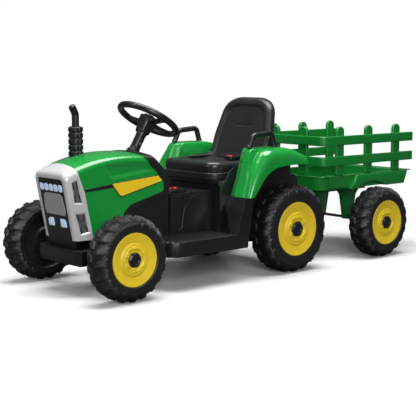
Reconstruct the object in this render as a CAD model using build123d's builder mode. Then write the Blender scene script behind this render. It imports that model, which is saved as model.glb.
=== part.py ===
from build123d import *
import math
import os

# A child's battery ride-on farm tractor that tows a two-wheeled trailer. All sizes are in mm.
# +X points forwards, +Y to the driver's left and +Z up. The origin is on the floor, under the
# middle of the whole length. Side views count x from the rear axle, or, on the trailer, from
# the trailer's own axle.

os.makedirs("parts", exist_ok=True)

# Driving dimensions of the whole toy
wheelbase = 620
hitch_reach = 125
drawbar_reach = 286
tail_overhang = 216

# Wheels: tread radius, width, distance of the outer face from the middle, disc and cap radii
front_radius, front_width, front_outer, front_disc = 114.5, 77.5, 246.8, 71.7
rear_radius, rear_width, rear_outer, rear_disc = 132.0, 89.2, 230.4, 81.0
trailer_radius, trailer_width, trailer_outer, trailer_disc = 113.0, 85.0, 236.0, 72.0
front_cap, rear_cap, trailer_cap = 20.0, 23.0, 20.6
shoulder = 17.0
dish_depth = 14.0

# Fits and walls
axle_radius = 5.0
running = 0.08
gap = 0.3
wall = 3.0
nut_radius = 9.5
nut_height = 3.0

# Steering
steering_centre = (385, 462)
rim_radius = 85.8
rim_thickness = 9.4
kingpin_offset = 150
steering_arm = 45
column_foot = (wheelbase - steering_arm, 149.5)
crank_reach = 27
tie_pin = 3.0
sleeve_radius = 14.5
sleeve_end = 92.0

# Body stations and half widths
nose = wheelbase + 104
dash = 465
tunnel_half = 88
console_half = 100
seat_box_half = 137
board_half = 218
floor_line = 97
board_top = 137
console_top = 255
seat_line = 285
fender_top = 377
fender_outer = 232
armrest_line = 170
armrest_radius = 8.5
bumper_front = wheelbase + 82
bumper_half = 100
bumper_top = 127

# Trailer
tub_floor = 225
tub_top = 268
tub_half = 148
rim_half = 156
flare_half = 168
rail_thickness = 8
post_thickness = 12
post_width = 36
post_top = 424
trailer_axle_radius = 4.5
leg_offset = 60
drawbar_bottom = 232
drawbar_height = 14
hitch_pin_radius = 6.0

trailer_reach = hitch_reach + drawbar_reach
rear_x = (trailer_reach + tail_overhang - wheelbase - front_radius) / 2
trailer_x = rear_x - trailer_reach


def side(y, start=rear_x):
    """A plane seen from the left: x runs forwards from start, y is the height."""
    return Plane(origin=(start, y, 0), x_dir=(1, 0, 0), z_dir=(0, -1, 0))


def level(z, start=rear_x):
    """A horizontal plane at height z, with x counted from start."""
    return Plane(origin=(start, 0, z), x_dir=(1, 0, 0), z_dir=(0, 0, 1))


def across(x):
    """A plane across the toy, x in front of the rear axle: x is to the left, y is up."""
    return Plane(origin=(rear_x + x, 0, 0), x_dir=(0, 1, 0), z_dir=(1, 0, 0))


def outline(points):
    """A closed straight-sided face in the current sketch."""
    Polygon(*points, align=None)


def slab(points, half, start=rear_x):
    """A solid with the given side-view outline, from half to the left to half to the right."""
    with BuildPart() as block:
        with BuildSketch(side(half, start)):
            outline(points)
        extrude(amount=2 * half)
    return block.part


def cheeks(points, inner, outer, start=rear_x):
    """The same side-view outline on the left and on the right, from inner to outer."""
    with BuildPart() as pair:
        for y in (outer, -inner):
            with BuildSketch(side(y, start)):
                outline(points)
            extrude(amount=outer - inner)
    return pair.part


def finish(piece, name):
    """Labels a finished piece and writes its STEP file."""
    piece.part.label = name
    export_step(piece.part, f"parts/{name}.step")


# Wheels. Each is a hollow blow-moulded tyre, a dished disc snapped into it and a hub cap.
def wheel_plane(axle_x, height, sign):
    """Half section of a wheel: x is the distance outwards from the middle, y the radius."""
    return Plane(origin=(axle_x, 0, height), x_dir=(0, sign, 0), z_dir=(sign, 0, 0))


def make_wheel(name, axle_x, radius, width, outer, disc, cap, shaft, sign):
    plane = wheel_plane(axle_x, radius, sign)
    spin = Axis((axle_x, 0, radius), (0, sign, 0))
    inner = outer - width
    seat = outer - dish_depth
    bore = shaft + running
    pocket = nut_radius + 4
    with BuildPart() as tyre:
        with BuildSketch(plane):
            outline(
                [
                    (inner, bore),
                    (inner, radius),
                    (outer, radius),
                    (outer, disc + 1),
                    (seat, disc + 1),
                    (seat, bore),
                ]
            )
            fillet(vertices().group_by(Axis.Y)[-1], shoulder)
            offset(amount=-wall, mode=Mode.SUBTRACT)
        revolve(axis=spin)
    finish(tyre, f"tyre_{name}")
    with BuildPart() as dished_disc:
        with BuildSketch(plane):
            outline(
                [
                    (seat, pocket),
                    (seat, disc),
                    (outer - 4, disc),
                    (outer - 4, disc - 4),
                    (outer - 9, 0.62 * disc),
                    (outer - 5, 0.56 * disc),
                    (outer - 5, 0.42 * disc),
                    (outer - 8, 0.38 * disc),
                    (outer - 8, pocket),
                ]
            )
        revolve(axis=spin)
    finish(dished_disc, f"disc_{name}")
    with BuildPart() as hub_cap:
        with BuildSketch(plane):
            outline(
                [
                    (outer - 8, 0),
                    (outer - 8, nut_radius + 1),
                    (outer - 12, nut_radius + 1),
                    (outer - 12, pocket - gap),
                    (outer - 8, pocket - gap),
                    (outer - 8, cap),
                    (outer - 4, cap),
                    (outer - 1, cap - 4),
                    (outer - 1, 0),
                ]
            )
        revolve(axis=spin)
    finish(hub_cap, f"cap_{name}")


def wheel_nut(axle_x, height, outer, sign):
    """The push nut that holds a wheel on its shaft."""
    start = outer - dish_depth + 0.5
    with BuildPart() as nut:
        with BuildSketch(wheel_plane(axle_x, height, sign)):
            with Locations((start + nut_height / 2, nut_radius / 2)):
                Rectangle(nut_height, nut_radius)
        revolve(axis=Axis((axle_x, 0, height), (0, sign, 0)))
    return nut.part


front_x = rear_x + wheelbase
for side_name, sign in (("left", 1), ("right", -1)):
    make_wheel(f"front_{side_name}", front_x, front_radius, front_width, front_outer,
               front_disc, front_cap, axle_radius, sign)
    make_wheel(f"rear_{side_name}", rear_x, rear_radius, rear_width, rear_outer,
               rear_disc, rear_cap, axle_radius, sign)
    make_wheel(f"trailer_{side_name}", trailer_x, trailer_radius, trailer_width,
               trailer_outer, trailer_disc, trailer_cap, trailer_axle_radius, sign)


# Fixed axles: a steel rod right across with a push nut at each end.
def make_axle(name, axle_x, height, outer, shaft):
    reach = outer - dish_depth + 0.5
    with BuildPart() as axle:
        with BuildSketch(side(reach, axle_x)):
            with Locations((0, height)):
                Circle(shaft)
        extrude(amount=2 * reach)
        add(wheel_nut(axle_x, height, outer, 1))
        add(wheel_nut(axle_x, height, outer, -1))
    finish(axle, name)


make_axle("rear_axle", rear_x, rear_radius, rear_outer, axle_radius)
make_axle("trailer_axle", trailer_x, trailer_radius, trailer_outer, trailer_axle_radius)

# Steering column frame: x to the left, y down towards the driver, z up the column.
column_run = column_foot[0] - steering_centre[0]
column_drop = steering_centre[1] - column_foot[1]
column_length = math.hypot(column_run, column_drop)
lean_x = column_run / column_length
lean_z = column_drop / column_length


def column_plane(down):
    """The plane square to the column, down below the middle of the steering wheel."""
    origin = (rear_x + steering_centre[0] + down * lean_x, 0, steering_centre[1] - down * lean_z)
    return Plane(origin=origin, x_dir=(0, 1, 0), z_dir=(-lean_x, 0, lean_z))


hub_depth = 42
hub_rise = 8
button_radius = 17
button_travel = 3
button_depth = 9
with BuildPart() as steering_wheel:
    with BuildSketch(Plane(origin=column_plane(0).origin, x_dir=(0, 1, 0), z_dir=column_plane(0).y_dir)):
        with Locations((rim_radius, 0)):
            Circle(rim_thickness)
    revolve(axis=Axis(column_plane(0).origin, column_plane(0).z_dir))
    with BuildSketch(column_plane(hub_depth)):
        RectangleRounded(46, 40, 9)
    extrude(amount=hub_depth + hub_rise)
    with BuildSketch(column_plane(6)):
        Rectangle(2 * rim_radius, 30)
        with Locations((0, rim_radius / 2)):
            Rectangle(34, rim_radius)
    extrude(amount=10)
    with BuildSketch(column_plane(sleeve_end)):
        Circle(sleeve_radius)
    extrude(amount=sleeve_end - hub_depth)
    with BuildSketch(column_plane(sleeve_end)):
        Circle(axle_radius)
    extrude(amount=sleeve_end - 20, mode=Mode.SUBTRACT)
    with BuildSketch(column_plane(-hub_rise)):
        Circle(button_radius + gap)
    extrude(amount=-(button_depth + button_travel), mode=Mode.SUBTRACT)
    with BuildSketch(Plane(origin=column_plane(79).origin, x_dir=(1, 0, 0), z_dir=(0, 1, 0))):
        Circle(2.5)
    extrude(amount=sleeve_radius + 1, both=True, mode=Mode.SUBTRACT)
finish(steering_wheel, "steering_wheel")

with BuildPart() as horn_button:
    with BuildSketch(column_plane(button_depth - hub_rise)):
        Circle(button_radius)
    extrude(amount=button_depth + 3, taper=3)
finish(horn_button, "horn_button")

with BuildPart() as steering_shaft:
    with BuildSketch(column_plane(column_length)):
        Circle(axle_radius)
    extrude(amount=column_length - 20)
    with BuildSketch(column_plane(column_length + 2)):
        with Locations((0, crank_reach / 2)):
            RectangleRounded(22, crank_reach + 24, 8)
        with Locations((0, crank_reach + 5)):
            Rectangle(2 * (tie_pin + 1.2), 26, mode=Mode.SUBTRACT)
    extrude(amount=4)
    with BuildSketch(Plane(origin=column_plane(79).origin, x_dir=(1, 0, 0), z_dir=(0, 1, 0))):
        Circle(2.5)
    extrude(amount=sleeve_radius + 1, both=True, mode=Mode.SUBTRACT)
finish(steering_shaft, "steering_shaft")

bolt_plane = Plane(origin=column_plane(79).origin, x_dir=(1, 0, 0), z_dir=(0, 1, 0))
with BuildPart() as steering_bolt:
    with BuildSketch(bolt_plane.offset(-sleeve_radius - 1)):
        Circle(2.45)
    extrude(amount=2 * sleeve_radius + 2)
    with BuildSketch(bolt_plane.offset(sleeve_radius)):
        Circle(4.5)
    extrude(amount=3)
    with BuildSketch(bolt_plane.offset(-sleeve_radius)):
        RegularPolygon(4.6, 6)
    extrude(amount=-4)
finish(steering_bolt, "steering_bolt")

collar_top = sleeve_end + 0.4
collar_step = sleeve_end + 9
collar_foot = sleeve_end + 30
collar_radius = 19.5
with BuildPart() as column_collar:
    with BuildSketch(column_plane(collar_foot)):
        Circle(collar_radius)
        Circle(axle_radius + running, mode=Mode.SUBTRACT)
    extrude(amount=collar_foot - collar_step)
    with BuildSketch(column_plane(collar_step)):
        Circle(15.5)
        Circle(axle_radius + running, mode=Mode.SUBTRACT)
    extrude(amount=collar_step - collar_top)
finish(column_collar, "column_collar")

# Front subframe: a spine under the nose, the axle beam with an open fork at each end, and the
# upright that holds the foot of the steering column.
ear_half = 14
fork_low, fork_high = front_radius - 19.5, front_radius + 19.5
barrel_low, barrel_high = front_radius - 9, front_radius + 9
spine_top = 112
bearing_low = column_length - 20
with BuildPart() as front_subframe:
    with BuildSketch(level(fork_low)):
        with Locations((wheelbase, 0)):
            Rectangle(32, 2 * (kingpin_offset - 15))
            Rectangle(2 * ear_half, 2 * (kingpin_offset + 12))
    extrude(amount=fork_high - fork_low)
    for y in (kingpin_offset, -kingpin_offset):
        with BuildSketch(level(barrel_low - gap)):
            with Locations((wheelbase, y)):
                Rectangle(40, 30)
        extrude(amount=barrel_high - barrel_low + 2 * gap, mode=Mode.SUBTRACT)
        with BuildSketch(level(fork_low)):
            with Locations((wheelbase, y)):
                Circle(axle_radius + running)
        extrude(amount=fork_high - fork_low, mode=Mode.SUBTRACT)
    with BuildSketch(side(40)):
        outline(
            [
                (wheelbase - 100, floor_line),
                (bumper_front - wall - gap - 3.2, floor_line),
                (bumper_front - wall - gap, floor_line + 6.5),
                (bumper_front - wall - gap, spine_top),
                (wheelbase - 100, spine_top),
            ]
        )
    extrude(amount=80)
    with BuildSketch(side(12)):
        outline(
            [
                (wheelbase - 22, spine_top),
                (wheelbase + 8, spine_top),
                (wheelbase - 32, spine_top + 72),
                (wheelbase - 54, spine_top + 75),
                (wheelbase - 58, spine_top + 66),
                (wheelbase - 44, spine_top + 64),
                (wheelbase - 30, spine_top + 46),
            ]
        )
    extrude(amount=24)
    with BuildSketch(column_plane(bearing_low)):
        Circle(12)
    extrude(amount=24)
    with BuildSketch(column_plane(column_length)):
        Circle(axle_radius + running)
    extrude(amount=80, mode=Mode.SUBTRACT)
finish(front_subframe, "front_subframe")

# Steering knuckles: kingpin, barrel, stub axle and steering arm welded together.
arm_low, arm_high = front_radius - 4, front_radius + 2
for side_name, sign in (("left", 1), ("right", -1)):
    y = sign * kingpin_offset
    inner_face = front_outer - front_width
    with BuildPart() as knuckle:
        with BuildSketch(level(fork_low - 6)):
            with Locations((wheelbase, y)):
                Circle(axle_radius)
        extrude(amount=fork_high - fork_low + 12)
        with BuildSketch(level(barrel_low)):
            with Locations((wheelbase, y)):
                Circle(9)
        extrude(amount=barrel_high - barrel_low)
        for z in (fork_low - 3 - gap, fork_high + gap):
            with BuildSketch(level(z)):
                with Locations((wheelbase, y)):
                    Circle(8.5)
            extrude(amount=3)
        with BuildSketch(wheel_plane(front_x, front_radius, sign)):
            outline(
                [
                    (kingpin_offset, 0),
                    (kingpin_offset, 8.5),
                    (inner_face - gap, 8.5),
                    (inner_face - gap, axle_radius),
                    (front_outer - dish_depth + 0.5, axle_radius),
                    (front_outer - dish_depth + 0.5, 0),
                ]
            )
        revolve(axis=Axis((front_x, 0, front_radius), (0, sign, 0)))
        add(wheel_nut(front_x, front_radius, front_outer, sign))
        with BuildSketch(level(arm_low)):
            with Locations((wheelbase - steering_arm / 2, y)):
                SlotOverall(steering_arm + 12, 12)
        extrude(amount=arm_high - arm_low)
        with BuildSketch(level(arm_high)):
            with Locations((wheelbase - steering_arm, y)):
                Circle(tie_pin)
        extrude(amount=8)
    finish(knuckle, f"knuckle_{side_name}")

# Tie rod: a flat steel bar bowed back to the crank, with the crank's pin in its middle.
pin_x = column_foot[0] - crank_reach * lean_z
rod_half = 7
with BuildPart() as tie_rod:
    with BuildSketch(level(arm_high + gap)):
        for sign in (1, -1):
            outline(
                [
                    (pin_x - rod_half, 0),
                    (pin_x - rod_half, sign * 34),
                    (wheelbase - steering_arm - rod_half, sign * 66),
                    (wheelbase - steering_arm - rod_half, sign * kingpin_offset),
                    (wheelbase - steering_arm + rod_half, sign * kingpin_offset),
                    (wheelbase - steering_arm + rod_half, sign * 62),
                    (pin_x + rod_half, sign * 30),
                    (pin_x + rod_half, 0),
                ]
            )
        for y in (kingpin_offset, -kingpin_offset):
            with Locations((wheelbase - steering_arm, y)):
                Circle(rod_half)
        with Locations((wheelbase - steering_arm, kingpin_offset)):
            Circle(tie_pin + running, mode=Mode.SUBTRACT)
        with Locations((wheelbase - steering_arm, -kingpin_offset)):
            Circle(tie_pin + gap, mode=Mode.SUBTRACT)
    extrude(amount=3)
    with BuildSketch(level(arm_high + gap + 3)):
        with Locations((pin_x, 0)):
            Circle(tie_pin)
    extrude(amount=30)
finish(tie_rod, "tie_rod")

# Hood. Its cross-section is flat-sided with a low crowned top and rounded shoulders.
hood_length = nose - dash
side_taper = 0.06


def hood_half(x):
    """Half width of the hood and grille, x in front of the rear axle."""
    return 75.6 + (nose - x) * side_taper


def hood_block(grow):
    """The solid hood form, grown outwards by grow, from behind the dash to past its front."""
    stations = [
        (-0.32, 356, 363),
        (0, 366, 376),
        (0.33, 368, 377),
        (0.52, 363, 374),
        (0.72, 350, 366),
        (0.95, 327, 341),
    ]
    with BuildPart() as block:
        for share, crease, crown in stations:
            x = dash + share * hood_length
            half = hood_half(x) + grow
            with BuildSketch(across(x)):
                with BuildLine():
                    Polyline((half, crease + grow), (half, 120), (-half, 120), (-half, crease + grow))
                    ThreePointArc((-half, crease + grow), (0, crown + grow), (half, crease + grow))
                make_face()
                fillet(vertices().group_by(Axis.Y)[-1], 16 + grow)
        loft()
    return block.part


hood_form = hood_block(0)
hood_inside = hood_block(-wall)
hood_rear = [(dash + 4, 366), (dash - 59, 294), (dash - 60, 266)]
hood_low = [(dash + 50, 236), (dash + 72, 217), (dash + 80, 190), (nose - 124, 165), (nose - 88, 150)]
hood_front = [(nose - 83, 174), (nose - 62, 279), (nose - 40, 338), (nose - 36, 400)]
exhaust_x, exhaust_y, exhaust_radius = nose - 110, -30, 20.5
with BuildPart() as hood_shell:
    add(hood_form)
    add(hood_inside, mode=Mode.SUBTRACT)
    with BuildSketch(side(120)):
        outline([(dash + 10, 400), *hood_rear, *hood_low, *hood_front])
    extrude(amount=240, mode=Mode.INTERSECT)
    with BuildSketch(level(300)):
        with Locations((exhaust_x, exhaust_y)):
            Circle(exhaust_radius + gap)
    extrude(amount=120, mode=Mode.SUBTRACT)
finish(hood_shell, "hood_shell")

# Yellow trim plates on the hood's sides.
badge_skin = hood_block(1.8)
badge_seat = hood_block(0.2)
with BuildPart() as side_badges:
    with BuildSketch(side(120)):
        outline([(dash + 114, 297), (dash - 41, 312), (dash - 56, 295), (dash + 80, 260)])
    extrude(amount=240)
    add(badge_skin, mode=Mode.INTERSECT)
    add(badge_seat, mode=Mode.SUBTRACT)
finish(side_badges, "side_badges")

# Dash cowl: the black frame round the hood's rear edge, closed towards the driver.
cowl_rear = [
    (dash - 28, 400),
    (dash - 19, 372),
    (dash - 72, 314),
    (dash - 79, 262),
    (dash - 79, console_top + gap),
]
cowl_low = [(dash - 60, 249), (dash + 43, 220), (dash + 58, 206), (dash + 64, 188)]
cowl_skin = hood_block(1.5)
cowl_inside = [
    (dash + 100, 380),
    (dash - 12, 369),
    (dash - 68, 311),
    (dash - 75, 262),
    (dash - 75, 200),
    (dash + 100, 150),
]
cowl_over_tunnel = [
    (dash - 90, console_top + gap),
    (dash - 74, console_top + gap),
    (dash + 90, 230),
    (dash + 90, 150),
    (dash - 90, 150),
]
with BuildPart() as cowl_hollow:
    add(hood_block(-2 * wall))
    with BuildSketch(side(120)):
        outline(cowl_inside)
    extrude(amount=240, mode=Mode.INTERSECT)

with BuildPart() as dash_cowl:
    add(cowl_skin)
    with BuildSketch(side(120)):
        outline(
            [
                (dash + 9.6, 400),
                *[(x - 0.4, z - 0.4) for x, z in hood_rear],
                *[(x - 0.4, z - 0.4) for x, z in hood_low[:3]],
                *reversed(cowl_low),
                *reversed(cowl_rear),
            ]
        )
    extrude(amount=240, mode=Mode.INTERSECT)
    add(cowl_hollow.part, mode=Mode.SUBTRACT)
    with BuildSketch(side(tunnel_half + gap)):
        outline(cowl_over_tunnel)
    extrude(amount=2 * (tunnel_half + gap), mode=Mode.SUBTRACT)
    with BuildSketch(column_plane(collar_foot + 10)):
        Circle(collar_radius + gap)
    extrude(amount=60, mode=Mode.SUBTRACT)
finish(dash_cowl, "dash_cowl")

# Silver surround of the grille: a hollow nose piece that leans forwards, open at the front.
face_foot = (nose - 34, 147)
face_head = (nose, 330)
face_rise = math.hypot(face_head[0] - face_foot[0], face_head[1] - face_foot[1])
face_tilt_x = (face_head[0] - face_foot[0]) / face_rise
face_tilt_z = (face_head[1] - face_foot[1]) / face_rise
nose_back = [(nose - 38, 352), (nose - 140, 366), (nose - 140, 100), (nose - 42, 100)]
panel_half = 60
panel_recess = wall + gap


def nose_block(inset):
    """The solid form of the nose, inset all round, made of its side view and its plan."""
    with BuildPart() as block:
        with BuildSketch(side(120)):
            outline([face_foot, face_head, *nose_back])
            fillet(vertices().sort_by(Axis.X)[-1], 16)
            offset(amount=-inset)
        extrude(amount=240)
        with BuildSketch(level(50)):
            outline(
                [
                    (nose - 160, hood_half(nose - 160)),
                    (nose + 4, hood_half(nose + 4)),
                    (nose + 4, -hood_half(nose + 4)),
                    (nose - 160, -hood_half(nose - 160)),
                ]
            )
            offset(amount=-inset)
        extrude(amount=400, mode=Mode.INTERSECT)
    return block.part


nose_form = nose_block(0)
nose_inside = nose_block(wall)
window_top = [(nose - 21, 309), (nose - 44, 319), (nose - 60, 247), (nose - 30, 249)]
window_low = [(nose - 32, 226), (nose - 67, 226), (nose - 80, 169), (nose - 49, 163)]
with BuildPart() as grille_surround:
    add(nose_form)
    add(nose_inside, mode=Mode.SUBTRACT)
    with BuildSketch(side(120)):
        outline(
            [
                face_foot,
                (nose + 10, 330),
                (nose + 10, 400),
                (nose - 35.6, 400),
                (nose - 39.6, 338),
                (nose - 61.6, 279),
                (nose - 82.6, 174),
                (nose - 86, 147),
            ]
        )
    extrude(amount=240, mode=Mode.INTERSECT)
    with BuildSketch(across(nose - 80)):
        with Locations((0, 216)):
            Rectangle(2 * panel_half, 200)
    extrude(amount=120, mode=Mode.SUBTRACT)
    for window in (window_top, window_low):
        with BuildSketch(side(120)):
            outline(window)
            fillet(vertices(), 4)
        extrude(amount=240, mode=Mode.SUBTRACT)
finish(grille_surround, "grille_surround")

# Mesh screens behind the four side windows.
with BuildPart() as side_screens:
    for window in (window_top, window_low):
        with BuildSketch(side(120)):
            outline(window)
            offset(amount=3)
        extrude(amount=240)
    add(nose_block(wall + gap), mode=Mode.INTERSECT)
    add(nose_block(wall + gap + 2), mode=Mode.SUBTRACT)
finish(side_screens, "side_screens")

# Grille panel, set back inside the surround, with the lamps and the radiator plate on it.
face_plane = Plane(
    origin=(
        rear_x + face_foot[0] - panel_recess * face_tilt_z,
        0,
        face_foot[1] + panel_recess * face_tilt_x,
    ),
    x_dir=(0, 1, 0),
    z_dir=(face_tilt_z, 0, -face_tilt_x),
)
panel_foot = -(face_foot[1] - bumper_top - gap) / face_tilt_z
panel_head = 176
with BuildPart() as grille_panel:
    with BuildSketch(face_plane):
        with Locations((0, (panel_foot + panel_head) / 2)):
            RectangleRounded(2 * panel_half + 10, panel_head - panel_foot, 6)
    extrude(amount=-4)
    with BuildSketch(level(bumper_top - 20)):
        with Locations((nose, 0)):
            Rectangle(200, 200)
    extrude(amount=20 + gap, mode=Mode.SUBTRACT)
finish(grille_panel, "grille_panel")

with BuildPart() as light_bar:
    with BuildSketch(face_plane):
        with Locations((0, 146)):
            RectangleRounded(114, 25, 4)
    extrude(amount=4)
finish(light_bar, "light_bar")

with BuildPart() as radiator_plate:
    with BuildSketch(face_plane):
        outline([(-44, 70), (44, 70), (49, 84), (43, 124), (34, 130), (-34, 130), (-43, 124), (-49, 84)])
        fillet(vertices(), 5)
    extrude(amount=2)
finish(radiator_plate, "radiator_plate")

with BuildPart() as lower_lamps:
    for sign in (1, -1):
        with BuildSketch(face_plane):
            outline([(sign * 17, 37), (sign * 42, 37), (sign * 42, 53), (sign * 34, 60), (sign * 17, 60)])
        extrude(amount=3)
finish(lower_lamps, "lower_lamps")

# Front bumper: a box open to the back that slides over the subframe's spine.
with BuildPart() as front_bumper:
    with BuildSketch(side(bumper_half)):
        outline(
            [
                (bumper_front - 52, bumper_top - 43),
                (bumper_front - 8, bumper_top - 43),
                (bumper_front, bumper_top - 26),
                (bumper_front, bumper_top),
                (bumper_front - 52, bumper_top),
            ]
        )
    extrude(amount=2 * bumper_half)
    with BuildSketch(level(bumper_top - 60)):
        outline(
            [
                (bumper_front, bumper_half - 16),
                (bumper_front - 14, bumper_half),
                (bumper_front - 60, bumper_half),
                (bumper_front - 60, -bumper_half),
                (bumper_front - 14, -bumper_half),
                (bumper_front, 16 - bumper_half),
            ]
        )
    extrude(amount=80, mode=Mode.INTERSECT)
    with BuildSketch(side(bumper_half - 16)):
        outline(
            [
                (bumper_front - 60, bumper_top - 43 + wall),
                (bumper_front - 10, bumper_top - 43 + wall),
                (bumper_front - wall, bumper_top - 26),
                (bumper_front - wall, bumper_top - wall),
                (bumper_front - 60, bumper_top - wall),
            ]
        )
    extrude(amount=2 * (bumper_half - 16), mode=Mode.SUBTRACT)
finish(front_bumper, "front_bumper")

# Exhaust stack: a ribbed muffler that stands in a hole in the hood, with a bent tail pipe.
muffler_foot, muffler_top = 350, 450
rib_foot = 366
muffler_core = exhaust_radius - 2.5
rib_count = 5
exhaust_axis = Axis((rear_x + exhaust_x, exhaust_y, 0), (0, 0, 1))
exhaust_plane = Plane(origin=(rear_x + exhaust_x, exhaust_y, 0), x_dir=(1, 0, 0), z_dir=(0, -1, 0))
rib_pitch = (muffler_top - rib_foot) / rib_count
with BuildPart() as exhaust_stack:
    with BuildSketch(exhaust_plane):
        with Locations((muffler_core / 2, (muffler_foot + muffler_top - 2) / 2)):
            Rectangle(muffler_core, muffler_top - 2 - muffler_foot)
        for rib in range(rib_count):
            low = rib_foot + rib * rib_pitch
            outline(
                [
                    (0, low + 2),
                    (muffler_core, low + 2),
                    (exhaust_radius, low + 5),
                    (exhaust_radius, low + rib_pitch - 3),
                    (muffler_core, low + rib_pitch),
                    (0, low + rib_pitch),
                ]
            )
    revolve(axis=exhaust_axis)
    with BuildSketch(exhaust_plane):
        with Locations(((muffler_core - 3.5) / 2, (muffler_foot + muffler_top - 7) / 2)):
            Rectangle(muffler_core - 3.5, muffler_top - 5 - muffler_foot)
    revolve(axis=exhaust_axis, mode=Mode.SUBTRACT)
    with BuildLine(exhaust_plane):
        FilletPolyline((0, muffler_top - 6), (0, 482), (13, 508), radius=18)
    with BuildSketch(Plane(origin=(rear_x + exhaust_x, exhaust_y, muffler_top - 6), z_dir=(0, 0, 1))):
        Circle(10)
    sweep()
finish(exhaust_stack, "exhaust_stack")

# Black lower body: tunnel, console, seat box, footboards and legs in one hollow moulding that is
# open underneath.
tunnel = [
    (230, floor_line),
    (wheelbase - 100, floor_line),
    (wheelbase - 100, 229),
    (dash - 74, console_top),
    (230, console_top),
]
console = [
    (230, floor_line + 20),
    (dash - 80, floor_line + 20),
    (dash - 80, console_top),
    (230, console_top),
]
nose_box = [
    (wheelbase - 120, 134),
    (wheelbase + 8, 134),
    (wheelbase + 8, 182),
    (wheelbase - 60, 198),
    (wheelbase - 120, 210),
]
seat_box = [
    (-90, 130),
    (-66, floor_line),
    (232, floor_line),
    (232, 268),
    (238, 274),
    (238, seat_line),
    (-74, seat_line),
    (-90, 268),
]
leg_top = 240
leg = [(196, floor_line), (240, floor_line), (238, board_top), (204, leg_top), (173, leg_top), (186, 150)]
leg_plan = [(150, seat_box_half - 1), (212, seat_box_half - 1), (241, 196), (241, board_half), (150, board_half)]
cheek = [(-58, seat_line), (212, seat_line), (196, 308), (158, 334), (60, 339), (-40, 341), (-58, 318)]
board_front = wheelbase - 142
board = [(196, -board_half), (board_front, -board_half), (board_front, board_half), (196, board_half)]
hollows = ((tunnel, tunnel_half), (console, console_half), (nose_box, 70), (seat_box, seat_box_half))
openings_below = (
    (-60, 226, seat_box_half - wall, floor_line + 4),
    (234, wheelbase - 104, tunnel_half - wall, floor_line + 4),
    (wheelbase - 96, wheelbase + 5, 67, 138),
)
ear_line = 150
ear_gap = 30
pedal_pivot = (392, board_top + 9)


def leg_block(inset):
    """Both solid legs, inset all round: their side view cut by their plan, slanted at the front."""
    with BuildPart() as legs:
        for sign in (1, -1):
            with BuildSketch(level(floor_line - 10)):
                outline([(x, sign * y) for x, y in leg_plan])
                offset(amount=-inset)
            extrude(amount=200)
        with BuildSketch(side(board_half + 10)):
            outline(leg)
            offset(amount=-inset)
        extrude(amount=2 * board_half + 20, mode=Mode.INTERSECT)
    return legs.part


with BuildPart() as body_shell:
    for profile, half in hollows:
        with BuildSketch(side(half)):
            outline(profile)
        extrude(amount=2 * half)
    with BuildSketch(level(floor_line)):
        outline(board)
        fillet(vertices().group_by(Axis.X)[-1], 45)
    extrude(amount=board_top - floor_line)
    add(leg_block(0))
    for profile, half in hollows:
        with BuildSketch(side(half - wall)):
            outline(profile)
            offset(amount=-wall)
        extrude(amount=2 * (half - wall), mode=Mode.SUBTRACT)
    with BuildSketch(level(floor_line)):
        outline(board)
        fillet(vertices().group_by(Axis.X)[-1], 45)
        offset(amount=-wall)
        Rectangle(2 * wheelbase, 2 * tunnel_half, mode=Mode.SUBTRACT)
    extrude(amount=board_top - floor_line - wall, mode=Mode.SUBTRACT)
    for start, stop, half, top in openings_below:
        with BuildSketch(level(floor_line - 2)):
            with Locations(((start + stop) / 2, 0)):
                Rectangle(stop - start, 2 * half)
        extrude(amount=top - floor_line + 2, mode=Mode.SUBTRACT)
    add(leg_block(wall), mode=Mode.SUBTRACT)
    add(cheeks(cheek, seat_box_half - wall, seat_box_half))
    with BuildSketch(side(seat_box_half + 5)):
        with Locations((0, rear_radius)):
            Circle(20 + gap)
    extrude(amount=2 * (seat_box_half + 5), mode=Mode.SUBTRACT)
    with BuildSketch(column_plane(column_length - 10)):
        Circle(9)
    extrude(amount=170, mode=Mode.SUBTRACT)
    for low in (drawbar_bottom - 8 - gap, drawbar_bottom + drawbar_height + gap):
        with BuildSketch(level(low)):
            with Locations((-hitch_reach + 18, 0)):
                Rectangle(36, 44)
            with Locations((-hitch_reach, 0)):
                Circle(22)
                Circle(hitch_pin_radius + 0.05, mode=Mode.SUBTRACT)
        extrude(amount=8)
    for y in (-ear_line + ear_gap + 4, -ear_line - ear_gap):
        with BuildSketch(side(y)):
            with Locations(pedal_pivot):
                Circle(7)
            with Locations((pedal_pivot[0], board_top + 4.5)):
                Rectangle(14, 9)
            with Locations(pedal_pivot):
                Circle(2.5 + running, mode=Mode.SUBTRACT)
        extrude(amount=4)
finish(body_shell, "body_shell")

# Underbody pan: closes the seat box from below and carries the battery.
pan_low = floor_line - 3.3
with BuildPart() as underbody_pan:
    with BuildSketch(level(pan_low)):
        with Locations((81, 0)):
            RectangleRounded(288, 2 * seat_box_half - 10, 12)
    extrude(amount=3)
    with BuildSketch(level(pan_low + 3)):
        with Locations((70, 0)):
            Rectangle(96, 156)
            Rectangle(90.6, 150.6, mode=Mode.SUBTRACT)
    extrude(amount=12)
finish(underbody_pan, "underbody_pan")

with BuildPart() as battery:
    with BuildSketch(level(pan_low + 3 + gap)):
        with Locations((70, 0)):
            RectangleRounded(90, 150, 3)
    extrude(amount=94)
    with BuildSketch(level(pan_low + 97 + gap)):
        with GridLocations(0, 100, 1, 2):
            with Locations((70, 0)):
                Rectangle(10, 12)
    extrude(amount=7)
finish(battery, "battery")

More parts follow.
